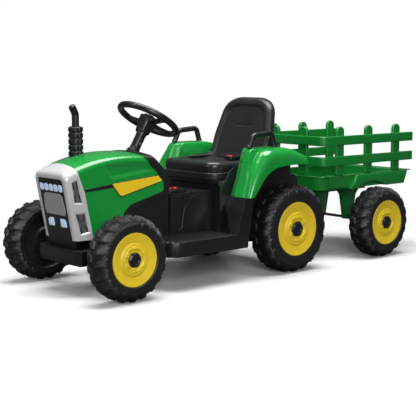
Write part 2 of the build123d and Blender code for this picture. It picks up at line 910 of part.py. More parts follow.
# Gear motors: one gearbox at each end of the rear axle, its output drum through the body wall.
with BuildPart() as gear_motors:
    for sign in (1, -1):
        plane = wheel_plane(rear_x, rear_radius, sign)
        with BuildSketch(plane):
            outline(
                [
                    (96, axle_radius + gap),
                    (96, 32),
                    (seat_box_half - wall - gap, 32),
                    (seat_box_half - wall - gap, 20),
                    (rear_outer - rear_width - gap, 20),
                    (rear_outer - rear_width - gap, axle_radius + gap),
                ]
            )
        revolve(axis=Axis((rear_x, 0, rear_radius), (0, sign, 0)))
        with BuildSketch(side(96 if sign > 0 else -133)):
            with Locations((-34, rear_radius + 6)):
                Circle(20)
        extrude(amount=-37)
        with BuildSketch(side(60 if sign > 0 else -96)):
            with Locations((-34, rear_radius + 6)):
                Circle(18)
        extrude(amount=-36)
finish(gear_motors, "gear_motors")

# Rear fenders: hollow arched mouldings that stand on the legs and lie along the seat box.
fender_foot = leg_top + gap
fender_arch = [(184, fender_foot), (165, 263), (143, 292), (118, 310), (93, 320), (48, 325), (-40, 325)]
fender_crown = [
    (-36, 347),
    (0, 366),
    (36, fender_top),
    (156, fender_top),
    (166, 366),
    (175, 327),
    (190, 280),
    (205, fender_foot),
]
fender_inner = seat_box_half + gap
with BuildPart() as fender_left:
    with BuildSketch(side(fender_outer)):
        outline(fender_arch + fender_crown)
    extrude(amount=fender_outer - fender_inner)
    with BuildSketch(side(fender_outer - wall)):
        outline(fender_arch + fender_crown)
        offset(amount=-wall)
    extrude(amount=fender_outer - fender_inner - 2 * wall, mode=Mode.SUBTRACT)
finish(fender_left, "fender_left")

with BuildPart() as fender_right:
    add(mirror(fender_left.part, about=Plane.XZ, mode=Mode.PRIVATE))
finish(fender_right, "fender_right")

# Armrests: a bent tube on top of each fender.
armrest_path = [(148, fender_top + gap), (131, 413), (58, 418), (46, fender_top + gap)]
with BuildPart() as armrests:
    for y in (armrest_line, -armrest_line):
        with BuildLine(side(y)):
            FilletPolyline(*armrest_path, radius=(14, 14))
        with BuildSketch(Plane(origin=(rear_x + 148, y, fender_top + gap), z_dir=(-17, 0, 33))):
            Circle(armrest_radius)
        sweep()
    with BuildSketch(level(fender_top - 20)):
        Rectangle(900, 900)
    extrude(amount=20 + gap, mode=Mode.SUBTRACT)
finish(armrests, "armrests")

# Seat: a cushion and a leaning back with a rounded head.
back_profile = [
    (58 - gap, seat_line + gap),
    (58 - gap, 300),
    (35, 372),
    (-6, 510),
    (-14, 518),
    (-24, 518),
    (-34, 508),
    (14, 340),
    (22, seat_line + gap),
]
with BuildPart() as seat_cushion:
    with BuildSketch(level(seat_line + gap)):
        with Locations((153, 0)):
            RectangleRounded(188, 244, 40)
    extrude(amount=52)
    fillet(edges().group_by(Axis.Z)[-1], 14)
finish(seat_cushion, "seat_cushion")

with BuildPart() as seat_back:
    with BuildSketch(side(130)):
        outline(back_profile)
    extrude(amount=260)
    with BuildSketch(across(-60)):
        outline([(-126, 280), (126, 280), (124, 400), (100, 518), (-100, 518), (-124, 400)])
        fillet(vertices().group_by(Axis.Y)[-1], 48)
    extrude(amount=160, mode=Mode.INTERSECT)
finish(seat_back, "seat_back")

# Lap belt: two webbing straps from the back corners of the seat, with a buckle on the left one.
belt_low = seat_line + gap + 52 + gap
with BuildPart() as seat_belt:
    for y in (92, -92):
        with BuildSketch(level(belt_low)):
            with Locations((112, y)):
                Rectangle(90, 25)
        extrude(amount=1.6)
    with BuildSketch(level(belt_low + 1.6)):
        with Locations((142, 92)):
            RectangleRounded(44, 34, 5)
    extrude(amount=11)
finish(seat_belt, "seat_belt")

# Control panel on the console, with a power button that slides and a rocker for the direction.
panel_x, panel_y = 348, 54
power_x, rocker_x = panel_x - 16, panel_x + 12
button_size = 6.5
panel_low = console_top + gap
panel_height = 9
with BuildPart() as control_panel:
    with BuildSketch(level(panel_low)):
        with Locations((panel_x, panel_y)):
            RectangleRounded(64, 72, 6)
        with Locations((power_x, panel_y)):
            Circle(button_size + 0.4, mode=Mode.SUBTRACT)
        with Locations((rocker_x, panel_y)):
            Rectangle(25, 15, mode=Mode.SUBTRACT)
    extrude(amount=panel_height)
finish(control_panel, "control_panel")

with BuildPart() as power_button:
    with BuildSketch(level(panel_low + 3)):
        with Locations((power_x, panel_y)):
            Circle(button_size)
    extrude(amount=panel_height + 1)
finish(power_button, "power_button")

rocker_pivot = panel_low + 6
with BuildPart() as direction_rocker:
    with BuildSketch(side(panel_y + 6.8)):
        outline(
            [
                (rocker_x - 10.5, rocker_pivot - 2),
                (rocker_x + 10.5, rocker_pivot - 2),
                (rocker_x + 10.5, rocker_pivot + 7),
                (rocker_x, rocker_pivot + 4.5),
                (rocker_x - 10.5, rocker_pivot + 7),
            ]
        )
    extrude(amount=13.6)
finish(direction_rocker, "direction_rocker")

# Accelerator pedal: a ribbed plate on a hinge pin between two ears on the right footboard.
with BuildPart() as pedal:
    with BuildSketch(side(-ear_line + ear_gap - 1)):
        outline([(388, 150), (396, 143), (456, 166), (453, 174), (392, 154)])
        with Locations(pedal_pivot):
            Circle(6)
    extrude(amount=2 * ear_gap - 2)
    with BuildSketch(side(-ear_line + ear_gap + 4)):
        with Locations(pedal_pivot):
            Circle(2.5)
    extrude(amount=2 * ear_gap + 8)
finish(pedal, "pedal")

# Hitch pin: dropped through the tractor's fork and the drawbar's eye, with a clip below.
with BuildPart() as hitch_pin:
    with BuildSketch(level(drawbar_bottom - 22)):
        with Locations((-hitch_reach, 0)):
            Circle(hitch_pin_radius)
    extrude(amount=drawbar_height + 30 + 2 * gap + 12)
    head_low = drawbar_bottom + drawbar_height + 8 + 2 * gap
    for low, radius, height in ((head_low, 10, 5), (drawbar_bottom - 15, 9, 3)):
        with BuildSketch(level(low)):
            with Locations((-hitch_reach, 0)):
                Circle(radius)
        extrude(amount=height)
finish(hitch_pin, "hitch_pin")

# Trailer tub: an open box with a rim all round, a raised flare and a wheel arch on each side.
tub_front, tub_rear = trailer_reach - 180, trailer_reach - 585
arch_radius = trailer_radius + 18


def tub_plan(half, front, rear, corner):
    """Plan of the tub in the current sketch, with its two front corners rounded."""
    outline([(rear, -half), (front, -half), (front, half), (rear, half)])
    fillet(vertices().group_by(Axis.X)[-1], corner)


flare = [(102, tub_floor), (72, tub_top - 2), (tub_rear - 5, tub_top - 2), (tub_rear + 13, tub_floor)]
band_low, band_front = tub_floor + 6, tub_front - 35
band = [(band_front, band_low), (band_front, tub_top - 2), (60, tub_top - 2), (98, band_low)]
with BuildPart() as trailer_tub:
    with BuildSketch(level(tub_floor, trailer_x)):
        tub_plan(tub_half, tub_front, tub_rear + 13, 35)
    extrude(amount=tub_top - 3 - tub_floor)
    with BuildSketch(level(tub_top - 3, trailer_x)):
        tub_plan(rim_half, tub_front + 2, tub_rear - 37, 38)
    extrude(amount=3)
    add(cheeks(band, tub_half - 1, rim_half - 2, trailer_x))
    add(cheeks(flare, tub_half - 1, flare_half, trailer_x))
    with BuildSketch(level(tub_floor + wall, trailer_x)):
        tub_plan(tub_half - wall, tub_front - wall, tub_rear + 16, 32)
    extrude(amount=tub_top - 3 - tub_floor - wall, mode=Mode.SUBTRACT)
    with BuildSketch(level(tub_top - 4, trailer_x)):
        tub_plan(tub_half - 10, tub_front - 12, tub_rear + 16, 28)
    extrude(amount=10, mode=Mode.SUBTRACT)
    for y in (flare_half + 2, -tub_half):
        with BuildSketch(side(y, trailer_x)):
            with Locations((0, trailer_radius)):
                Circle(arch_radius)
        extrude(amount=flare_half + 2 - tub_half, mode=Mode.SUBTRACT)
finish(trailer_tub, "trailer_tub")

# Fence rails: two flat boards, each bent round the front corners of the load bed.
rail_outer = rim_half + 5
rail_inner = rail_outer - rail_thickness
rail_front = trailer_reach - 180
rail_levels = ((301, 331), (365, 395))
rail_corner = 22
with BuildPart() as fence_rails:
    for low, high in rail_levels:
        with BuildSketch(level(low, trailer_x)):
            tub_plan(rail_outer, rail_front, -tail_overhang, rail_corner)
        extrude(amount=high - low)
        with BuildSketch(level(low, trailer_x)):
            tub_plan(rail_inner, rail_front - rail_thickness, -tail_overhang - 5, rail_corner - rail_thickness)
        extrude(amount=high - low, mode=Mode.SUBTRACT)
finish(fence_rails, "fence_rails")

# Fence posts: upright boards with rounded heads, inside the rails and standing on the rim.
side_posts = (142, 3, -137)
front_posts = (63, -63)
with BuildPart() as fence_posts:
    for y in (rail_inner - post_thickness, -rail_inner):
        for x in side_posts:
            with BuildSketch(side(y + post_thickness, trailer_x)):
                with Locations((x, (tub_top + post_top) / 2)):
                    RectangleRounded(post_width, post_top - tub_top, 10)
                with Locations((x, tub_top + 15)):
                    Rectangle(post_width, 30)
            extrude(amount=post_thickness)
    for y in front_posts:
        with BuildSketch(across(rail_front - rail_thickness - trailer_reach)):
            with Locations((y, (tub_top + post_top) / 2)):
                RectangleRounded(post_width, post_top - tub_top, 10)
            with Locations((y, tub_top + 15)):
                Rectangle(post_width, 30)
        extrude(amount=-post_thickness)
finish(fence_posts, "fence_posts")

# Axle bracket: a keel under the tub with two legs that hold the trailer's axle.
keel_low = 206
leg_half = 11
with BuildPart() as axle_bracket:
    with BuildSketch(level(keel_low, trailer_x)):
        with Locations((60, 0)):
            RectangleRounded(290, 2 * leg_offset + 20, 10)
    extrude(amount=tub_floor - keel_low)
    with BuildSketch(level(keel_low, trailer_x)):
        with Locations((60, 0)):
            Rectangle(280, 2 * leg_offset + 10)
    extrude(amount=tub_floor - keel_low - wall, mode=Mode.SUBTRACT)
    add(
        cheeks(
            [(-60, tub_floor), (-30, 190), (-14, 108), (14, 108), (30, 190), (60, tub_floor)],
            leg_offset - leg_half,
            leg_offset + leg_half,
            trailer_x,
        )
    )
    with BuildSketch(side(leg_offset + leg_half + 1, trailer_x)):
        with Locations((0, trailer_radius)):
            Circle(trailer_axle_radius + 0.1)
    extrude(amount=2 * (leg_offset + leg_half + 1), mode=Mode.SUBTRACT)
finish(axle_bracket, "axle_bracket")

# Drawbar: from the tub's front to the hitch, with an eye for the pin.
with BuildPart() as drawbar:
    with BuildSketch(level(drawbar_bottom, trailer_x)):
        outline([(tub_front + gap, -32), (drawbar_reach, -15), (drawbar_reach, 15), (tub_front + gap, 32)])
        with Locations((drawbar_reach, 0)):
            Circle(15)
            Circle(hitch_pin_radius + running, mode=Mode.SUBTRACT)
    extrude(amount=drawbar_height)
finish(drawbar, "drawbar")
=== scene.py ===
import math

import bmesh
import bpy
import numpy as np
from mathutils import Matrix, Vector


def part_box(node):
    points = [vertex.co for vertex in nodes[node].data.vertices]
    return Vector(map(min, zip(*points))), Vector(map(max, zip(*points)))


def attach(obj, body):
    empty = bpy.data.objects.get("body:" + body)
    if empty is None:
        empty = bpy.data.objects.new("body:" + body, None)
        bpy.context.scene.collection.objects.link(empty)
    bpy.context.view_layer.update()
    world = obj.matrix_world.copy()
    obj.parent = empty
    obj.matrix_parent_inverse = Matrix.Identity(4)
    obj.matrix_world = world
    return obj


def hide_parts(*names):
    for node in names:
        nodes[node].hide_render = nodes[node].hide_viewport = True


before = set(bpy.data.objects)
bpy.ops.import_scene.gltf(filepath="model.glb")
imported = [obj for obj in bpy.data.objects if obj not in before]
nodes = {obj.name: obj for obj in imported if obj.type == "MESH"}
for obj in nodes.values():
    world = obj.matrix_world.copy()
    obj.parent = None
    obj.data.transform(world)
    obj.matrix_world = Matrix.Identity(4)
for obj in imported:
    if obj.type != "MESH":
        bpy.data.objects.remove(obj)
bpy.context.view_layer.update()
scene = bpy.context.scene
both_hands = (("left", 1), ("right", -1))


# The studio: a white floor under a pale sky, with a large softbox overhead, one beside the camera and
# a weak one in front. The camera looks at the tractor's left front corner from a child's eye height.
def aimed(name, data, place, target):
    """An object put at a place and turned to look at a target."""
    thing = bpy.data.objects.new(name, data)
    thing.location = place
    thing.rotation_euler = (Vector(target) - Vector(place)).to_track_quat("-Z", "Y").to_euler()
    scene.collection.objects.link(thing)
    return thing


def added(tree, *kinds):
    """New shader nodes of the given kinds in a node tree."""
    return [tree.nodes.new("ShaderNode" + kind) for kind in kinds]


def wired(tree, *links):
    """Joins nodes of a tree: each link is a node, its output, the next node and its input."""
    for start, output, end, socket in links:
        tree.links.new(start.outputs[output], end.inputs[socket])


scene.view_settings.view_transform = "Standard"
lens = bpy.data.cameras.new("camera")
lens.lens = 90.56
scene.camera = aimed("camera", lens, (2.18175, 2.3677, 0.603), (0.10355, 0.0, 0.1863))

sky = bpy.data.worlds.new("studio_sky")
sky.use_nodes = True
sky_light = sky.node_tree.nodes["Background"]
sky_light.inputs["Color"].default_value = (0.94, 0.97, 1.0, 1.0)
sky_light.inputs["Strength"].default_value = 0.16
backdrop, sky_seen, sky_all = added(sky.node_tree, "Background", "LightPath", "MixShader")
backdrop.inputs["Color"].default_value = (1.0, 1.0, 1.0, 1.0)
wired(sky.node_tree,
      (sky_seen, "Is Camera Ray", sky_all, "Fac"), (sky_light, "Background", sky_all, 1),
      (backdrop, "Background", sky_all, 2), (sky_all, "Shader", sky.node_tree.nodes["World Output"], "Surface"))
scene.world = sky

softboxes = [
    ("overhead", (0.1, 0.1, 2.6), (0.0, 0.0, 0.2), (2.6, 1.5), 125),
    ("beside_camera", (2.0, 3.0, 1.3), (0.0, 0.0, 0.2), (1.2, 1.4), 82),
    ("front", (3.2, -0.6, 1.5), (0.3, 0.0, 0.2), (0.8, 1.4), 16),
]
for name, place, target, size, watts in softboxes:
    lamp = bpy.data.lights.new(name, "AREA")
    lamp.shape = "RECTANGLE"
    lamp.size, lamp.size_y = size
    lamp.energy = watts
    aimed(name, lamp, place, target)

# The floor is glossy near the object and plain white further off. Only the camera sees it so: to
# every other ray it is a dim grey, which keeps the black plastic dark.
floor_half, glossy_to, white_from = 30.0, 0.75, 1.5
floor_mesh = bpy.data.meshes.new("floor")
floor_corners = [(x * floor_half, y * floor_half, 0.0) for x, y in ((-1, -1), (1, -1), (1, 1), (-1, 1))]
floor_mesh.from_pydata(floor_corners, [], [(0, 1, 2, 3)])
floor = bpy.data.objects.new("floor", floor_mesh)
scene.collection.objects.link(floor)
floor_paint = bpy.data.materials.new("floor_paint")
floor_paint.use_nodes = True
floor_tree = floor_paint.node_tree
floor_shader = floor_tree.nodes["Principled BSDF"]
floor_shader.inputs["Base Color"].default_value = (0.93, 0.93, 0.94, 1.0)
floor_shader.inputs["Roughness"].default_value = 0.3
floor_place, floor_length, floor_far, floor_white, floor_dim, floor_seen, floor_near, floor_all = added(
    floor_tree, "TexCoord", "VectorMath", "MapRange", "Emission", "BsdfDiffuse", "LightPath", "MixShader",
    "MixShader")
floor_length.operation = "LENGTH"
floor_far.interpolation_type = "SMOOTHSTEP"
floor_far.inputs["From Min"].default_value = glossy_to
floor_far.inputs["From Max"].default_value = white_from
floor_dim.inputs["Color"].default_value = (0.1, 0.1, 0.1, 1.0)
wired(floor_tree,
      (floor_place, "Object", floor_length, 0), (floor_length, "Value", floor_far, "Value"),
      (floor_far, "Result", floor_near, "Fac"), (floor_shader, "BSDF", floor_near, 1),
      (floor_white, "Emission", floor_near, 2), (floor_seen, "Is Camera Ray", floor_all, "Fac"),
      (floor_dim, "BSDF", floor_all, 1), (floor_near, "Shader", floor_all, 2),
      (floor_all, "Shader", floor_tree.nodes["Material Output"], "Surface"))
floor_mesh.materials.append(floor_paint)


# Wheels: black blow-moulded tyres with slanted lugs, run round a bore on the axle. The tread has
# fine ribs between the lugs, and each lug turns down over the shoulder in an L-shaped end.
def rounded_path(corners, radii):
    """Points along straight runs that turn at each inner corner on an arc of its radius.

    An arc's points are the two tangent spokes mixed by sines of the turn, which keeps them on it.
    """
    corners = np.asarray(corners, float)
    runs = [corners[:1]]
    for before, corner, after, radius in zip(corners, corners[1:], corners[2:], radii):
        into = (corner - before) / np.linalg.norm(corner - before)
        out = (after - corner) / np.linalg.norm(after - corner)
        turn = math.acos(np.clip(into @ out, -1.0, 1.0))
        if radius == 0 or turn < 1e-4:
            runs.append(corner[None])
            continue
        reach = radius * math.tan(turn / 2)
        start, end = corner - into * reach, corner + out * reach
        centre = corner + (out - into) / np.linalg.norm(out - into) * radius / math.cos(turn / 2)
        share = np.linspace(0, 1, 2 + int(8 * turn))[:, None]
        arc = np.sin((1 - share) * turn) * (start - centre) + np.sin(share * turn) * (end - centre)
        runs.append(centre + arc / math.sin(turn))
    runs.append(corners[-1:])
    return np.concatenate(runs)


def lengths_along(path):
    """Distance along a path from its first point to each of its points."""
    return np.concatenate([[0.0], np.cumsum(np.linalg.norm(np.diff(path, axis=0), axis=1))])


def resample(path, stations):
    """Points of a path at the given distances from its start."""
    run = lengths_along(path)
    return np.stack([np.interp(stations, run, path[:, axis]) for axis in range(path.shape[1])], axis=1)


def evenly(path, count):
    """Points evenly spaced along a path, ends included."""
    return resample(path, np.linspace(0, lengths_along(path)[-1], count))


def turns(count):
    """Angles evenly spaced round a circle."""
    return np.linspace(0, 2 * math.pi, count, endpoint=False)


def ease(low, high, value):
    """Rises smoothly from 0 at low to 1 at high."""
    share = np.clip((value - low) / (high - low), 0.0, 1.0)
    return share * share * (3 - 2 * share)


def surface(name, points, material, body="tractor", closed_rows=False, closed_columns=True, ends=False,
            uv=None, sharp=35, replaces=()):
    """A piece from a grid of points (rows, columns, 3), joined round where it is closed.

    ends covers the first and last row with a face each. Poles are merged and faces point outwards.
    uv is for a surface closed both ways, and carries on past its seams.
    """
    rows, columns = points.shape[:2]
    grid = np.arange(rows * columns).reshape(rows, columns)
    if closed_columns:
        grid = np.concatenate([grid, grid[:, :1]], axis=1)
    if closed_rows:
        grid = np.concatenate([grid, grid[:1]], axis=0)
    quads = np.stack([grid[:-1, :-1], grid[:-1, 1:], grid[1:, 1:], grid[1:, :-1]], axis=-1)
    faces = quads.reshape(-1, 4).tolist()
    if ends:
        faces += [list(range(columns))[::-1], list(range((rows - 1) * columns, rows * columns))]
    mesh = bpy.data.meshes.new(name)
    mesh.from_pydata(points.reshape(-1, 3).tolist(), [], faces)
    if uv is not None:
        uv = np.concatenate([uv, 2 * uv[:, -1:] - uv[:, -2:-1]], axis=1)
        uv = np.concatenate([uv, uv[:1]], axis=0)
        corners = np.stack([uv[:-1, :-1], uv[:-1, 1:], uv[1:, 1:], uv[1:, :-1]], axis=2)
        layer = mesh.uv_layers.new(name="tread")
        layer.data.foreach_set("uv", corners.reshape(-1, 2).ravel().tolist())
    shape = bmesh.new()
    shape.from_mesh(mesh)
    bmesh.ops.remove_doubles(shape, verts=shape.verts, dist=1e-6)
    bmesh.ops.recalc_face_normals(shape, faces=shape.faces)
    shape.to_mesh(mesh)
    shape.free()
    mesh.shade_smooth()
    mesh.set_sharp_from_angle(angle=math.radians(sharp))
    piece = bpy.data.objects.new(name, mesh)
    scene.collection.objects.link(piece)
    mesh.materials.append(material)
    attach(piece, body)
    if replaces:
        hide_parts(*replaces)
    return piece


def moulded_plastic_group():
    """Node group for moulded plastic: slow cloudy shade, patchy gloss and a fine sparked grain."""
    group = bpy.data.node_groups.new("moulded_plastic", "ShaderNodeTree")
    sockets = [
        ("Colour", "INPUT", "NodeSocketColor", (0.5, 0.5, 0.5, 1.0)),
        ("Shade", "INPUT", "NodeSocketFloat", 0.1),
        ("Roughness", "INPUT", "NodeSocketFloat", 0.4),
        ("Patchiness", "INPUT", "NodeSocketFloat", 0.1),
        ("Grain size", "INPUT", "NodeSocketFloat", 900.0),
        ("Colour", "OUTPUT", "NodeSocketColor", None),
        ("Roughness", "OUTPUT", "NodeSocketFloat", None),
        ("Height", "OUTPUT", "NodeSocketFloat", None),
    ]
    for name, way, kind, value in sockets:
        socket = group.interface.new_socket(name, in_out=way, socket_type=kind)
        if value is not None:
            socket.default_value = value
    inside, outside = group.nodes.new("NodeGroupInput"), group.nodes.new("NodeGroupOutput")
    place, cloud, grain, shade, gloss, tint = added(
        group, "TexCoord", "TexNoise", "TexNoise", "MapRange", "MapRange", "HueSaturation")
    cloud.inputs["Scale"].default_value = 9.0
    cloud.inputs["Detail"].default_value = 3.0
    grain.inputs["Detail"].default_value = 2.0
    low, high, rough_low, rough_high = added(group, "Math", "Math", "Math", "Math")
    low.operation = rough_low.operation = "SUBTRACT"
    low.inputs[0].default_value = high.inputs[0].default_value = 1.0
    for node, side in ((low, "To Min"), (high, "To Max")):
        wired(group, (inside, "Shade", node, 1), (node, 0, shade, side))
    for node, side in ((rough_low, "To Min"), (rough_high, "To Max")):
        wired(group, (inside, "Roughness", node, 0), (inside, "Patchiness", node, 1), (node, 0, gloss, side))
    for node in (shade, gloss):
        node.inputs["From Min"].default_value = 0.3
        node.inputs["From Max"].default_value = 0.7
        wired(group, (cloud, "Fac", node, "Value"))
    wired(group,
          (place, "Object", cloud, "Vector"), (place, "Object", grain, "Vector"),
          (inside, "Grain size", grain, "Scale"), (shade, "Result", tint, "Value"),
          (inside, "Colour", tint, "Color"), (tint, "Color", outside, "Colour"),
          (gloss, "Result", outside, "Roughness"), (grain, "Fac", outside, "Height"))
    return group


moulded_group = moulded_plastic_group()


def moulded(name, colour, roughness, shade=0.06, patchiness=0.04, grain=700.0, depth=0.00002, coat=0.0,
            metallic=0.0):
    """A plastic finish: the group's colour, gloss and grain on a Principled shader."""
    material = bpy.data.materials.new(name)
    material.use_nodes = True
    tree = material.node_tree
    shader = tree.nodes["Principled BSDF"]
    finish, bump = added(tree, "Group", "Bump")
    finish.node_tree = moulded_group
    for socket, value in (("Colour", (*colour, 1.0)), ("Shade", shade), ("Roughness", roughness),
                          ("Patchiness", patchiness), ("Grain size", grain)):
        finish.inputs[socket].default_value = value
    bump.inputs["Distance"].default_value = depth
    wired(tree,
          (finish, "Colour", shader, "Base Color"), (finish, "Roughness", shader, "Roughness"),
          (finish, "Height", bump, "Height"), (bump, "Normal", shader, "Normal"))
    shader.inputs["Coat Weight"].default_value = coat
    shader.inputs["Coat Roughness"].default_value = 0.06
    shader.inputs["Metallic"].default_value = metallic
    return material


tyre_black = moulded("tyre_black", (0.007, 0.0072, 0.0084), 0.4, grain=500.0, depth=0.00004)
tyre_tree = tyre_black.node_tree
rib_pitch, ribs_end, ribs_fade = 0.003, 0.046, 0.036
rib_place, rib_parts, rib_count, rib_wave, rib_side, rib_band, rib_height, rib_bump = added(
    tyre_tree, "UVMap", "SeparateXYZ", "Math", "Math", "Math", "MapRange", "Math", "Bump")
rib_place.uv_map = "tread"
rib_count.operation = rib_height.operation = "MULTIPLY"
rib_wave.operation, rib_side.operation = "SINE", "ABSOLUTE"
rib_count.inputs[1].default_value = 2 * math.pi / rib_pitch
rib_band.inputs["From Min"].default_value = ribs_end
rib_band.inputs["From Max"].default_value = ribs_fade
rib_bump.inputs["Distance"].default_value = 0.0006
wired(tyre_tree,
      (rib_place, "UV", rib_parts, "Vector"), (rib_parts, "X", rib_count, 0), (rib_count, 0, rib_wave, 0),
      (rib_parts, "Y", rib_side, 0), (rib_side, 0, rib_band, "Value"), (rib_wave, 0, rib_height, 0),
      (rib_band, "Result", rib_height, 1), (rib_height, 0, rib_bump, "Height"),
      (tyre_tree.nodes["Bump"], "Normal", rib_bump, "Normal"),
      (rib_bump, "Normal", tyre_tree.nodes["Principled BSDF"], "Normal"))

wheel_yellow = moulded("wheel_yellow", (0.74, 0.53, 0.02), 0.42, shade=0.04, grain=420.0,
                       depth=0.00003)
cap_black = moulded("cap_black", (0.006, 0.006, 0.007), 0.36)
lug_depth = 0.0042
lug_step = 2 * math.pi / 20
bore = 0.0052
pocket = 0.0137


def wheel_place(axle, out, radius, angle, side):
    """Points at a distance out from the middle and at a radius and angle round an axle."""
    x = axle[0] + radius * np.sin(angle)
    z = axle[1] + radius * np.cos(angle)
    return np.stack([x, side * out + 0 * x, z], axis=-1)


def tyre_points(axle, inner, outer, radius, disc, side):
    """A closed barrel turned round the axle, its tread pushed out by lugs.

    The half section is a rounded path. A lug is a smooth pulse of the angle, slanted by the
    distance from the tread's middle, staggered from side to side and widened at its lower end.
    """
    tread = radius - lug_depth
    section = rounded_path(
        [(inner + 0.001, bore), (inner + 0.001, 0.34 * radius), (inner + 0.009, 0.38 * radius),
         (inner + 0.009, 0.62 * radius), (inner + 0.0022, 0.68 * radius), (inner + 0.0012, tread - 0.03),
         (inner + 0.003, tread), (outer - 0.003, tread), (outer - 0.0012, tread - 0.03),
         (outer - 0.0016, disc + 0.005), (outer - 0.003, disc + 0.0006), (outer - 0.014, disc + 0.0006),
         (outer - 0.014, bore)],
        [0, 0.003, 0.003, 0.003, 0.02, 0.024, 0.024, 0.02, 0.004, 0.0025, 0, 0],
    )
    run = lengths_along(section)
    on_top = section[:, 1] > tread - 0.001
    top = np.interp((inner + outer) / 2, section[on_top, 0], run[on_top])
    shoulder = (outer - inner) / 2 + 0.016
    stations = np.unique(np.concatenate([
        np.linspace(0, top - shoulder, 22), np.linspace(top - shoulder, top + shoulder, 78),
        np.linspace(top + shoulder, run[-1], 22), run[-6:]]))
    line = resample(section, stations)
    across_tread = stations - top
    slope = np.gradient(line, stations, axis=0)
    slope /= np.linalg.norm(slope, axis=1, keepdims=True)
    outward = np.stack([-slope[:, 1], slope[:, 0]], axis=1)
    angle = turns(560)
    away = np.abs(across_tread)[:, None]
    hand = np.sign(across_tread)[:, None]
    turned = (angle / lug_step + 0.25 * hand + away / shoulder * 0.55) % 1.0
    drop = shoulder - 0.006
    foot = ease(drop - 0.01, drop - 0.006, away)
    half_width = 0.24 + 0.14 * foot
    bar = 1 - ease(half_width - 0.035, half_width + 0.035, np.abs(turned - 0.5 - 0.1 * foot))
    reach = ease(0.002, 0.005, away) * (1 - ease(drop - 0.002, drop + 0.002, away))
    height = lug_depth * (1 - 0.62 * ease(drop - 0.03, drop - 0.012, away))
    push = bar * reach * height
    out = line[:, :1] + push * outward[:, :1]
    far = line[:, 1:] + push * outward[:, 1:]
    out = np.clip(out, inner + 0.0002, outer - 0.0002)
    far = np.minimum(far, radius - 0.0001)
    uv = np.stack(np.broadcast_arrays(angle * tread, across_tread[:, None]), axis=-1)
    return wheel_place(axle, out, far, angle[None], side), uv


def disc_points(axle, outer, disc, side):
    """A closed ring turned round the axle, with six low bosses round the hub."""
    seat, boss_ring = outer - 0.014, 0.36 * disc
    section = rounded_path(
        [(seat, pocket), (outer - 0.0085, pocket), (outer - 0.008, boss_ring), (outer - 0.0045, 0.42 * disc),
         (outer - 0.0045, 0.49 * disc), (outer - 0.0062, 0.51 * disc), (outer - 0.0056, 0.57 * disc),
         (outer - 0.0088, 0.63 * disc), (outer - 0.0078, 0.68 * disc), (outer - 0.0038, disc - 0.004),
         (outer - 0.0034, disc - 0.001), (outer - 0.006, disc), (seat, disc)],
        [0.001, 0.002, 0.003, 0.0015, 0.001, 0.002, 0.003, 0.003, 0.02, 0.002, 0.0015, 0],
    )
    line = evenly(section, 110)
    out, radius = line[:, :1], line[:, 1:]
    angle = turns(180)[None]
    boss_angle = np.round(angle / (math.pi / 3)) * math.pi / 3
    from_boss = np.hypot(radius * np.cos(angle) - boss_ring * np.cos(boss_angle),
                         radius * np.sin(angle) - boss_ring * np.sin(boss_angle))
    boss = 0.0016 * (1 - ease(0.075 * disc, 0.115 * disc, from_boss)) * (out > outer - 0.01)
    return wheel_place(axle, out + boss, radius, angle, side)


def cap_points(axle, outer, cap, side):
    """A closed knob turned round the axle, its edge drawn in at six places, with a dished face."""
    section = rounded_path(
        [(outer - 0.012, 0.0), (outer - 0.012, 0.0128), (outer - 0.0078, 0.013), (outer - 0.0078, cap),
         (outer - 0.0045, cap), (outer - 0.0012, cap - 0.005), (outer - 0.0012, 0.55 * cap),
         (outer - 0.003, 0.48 * cap), (outer - 0.003, 0.0)],
        [0, 0, 0, 0.001, 0.002, 0.002, 0.001, 0.001],
    )
    line = evenly(section, 60)
    angle = turns(120)[None]
    draw = 1 - 0.07 * (0.5 + 0.5 * np.cos(6 * angle)) ** 3 * ease(0.6 * cap, 0.95 * cap, line[:, 1:])
    return wheel_place(axle, line[:, :1], line[:, 1:] * draw, angle, side)


for place in ("front", "rear", "trailer"):
    for hand, side in both_hands:
        tyre_node, disc_node, cap_node = (f"{part}_{place}_{hand}" for part in ("tyre", "disc", "cap"))
        wheel, wheel_body = f"{place}_{hand}", f"{place}_{hand}_wheel"
        low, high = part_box(tyre_node)
        axle = ((low[0] + high[0]) / 2, (low[2] + high[2]) / 2)
        inner, outer = sorted((abs(low[1]), abs(high[1])))
        radius, disc, cap = ((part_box(node)[1][2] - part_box(node)[0][2]) / 2
                             for node in (tyre_node, disc_node, cap_node))
        tyre, tread_uv = tyre_points(axle, inner, outer, radius, disc, side)
        surface(f"{wheel}_tyre", tyre, tyre_black, wheel_body, closed_rows=True, uv=tread_uv, replaces=(tyre_node,))
        surface(f"{wheel}_disc", disc_points(axle, outer, disc, side), wheel_yellow, wheel_body, closed_rows=True,
                replaces=(disc_node,))
        surface(f"{wheel}_cap", cap_points(axle, outer, cap, side), cap_black, wheel_body, replaces=(cap_node,))


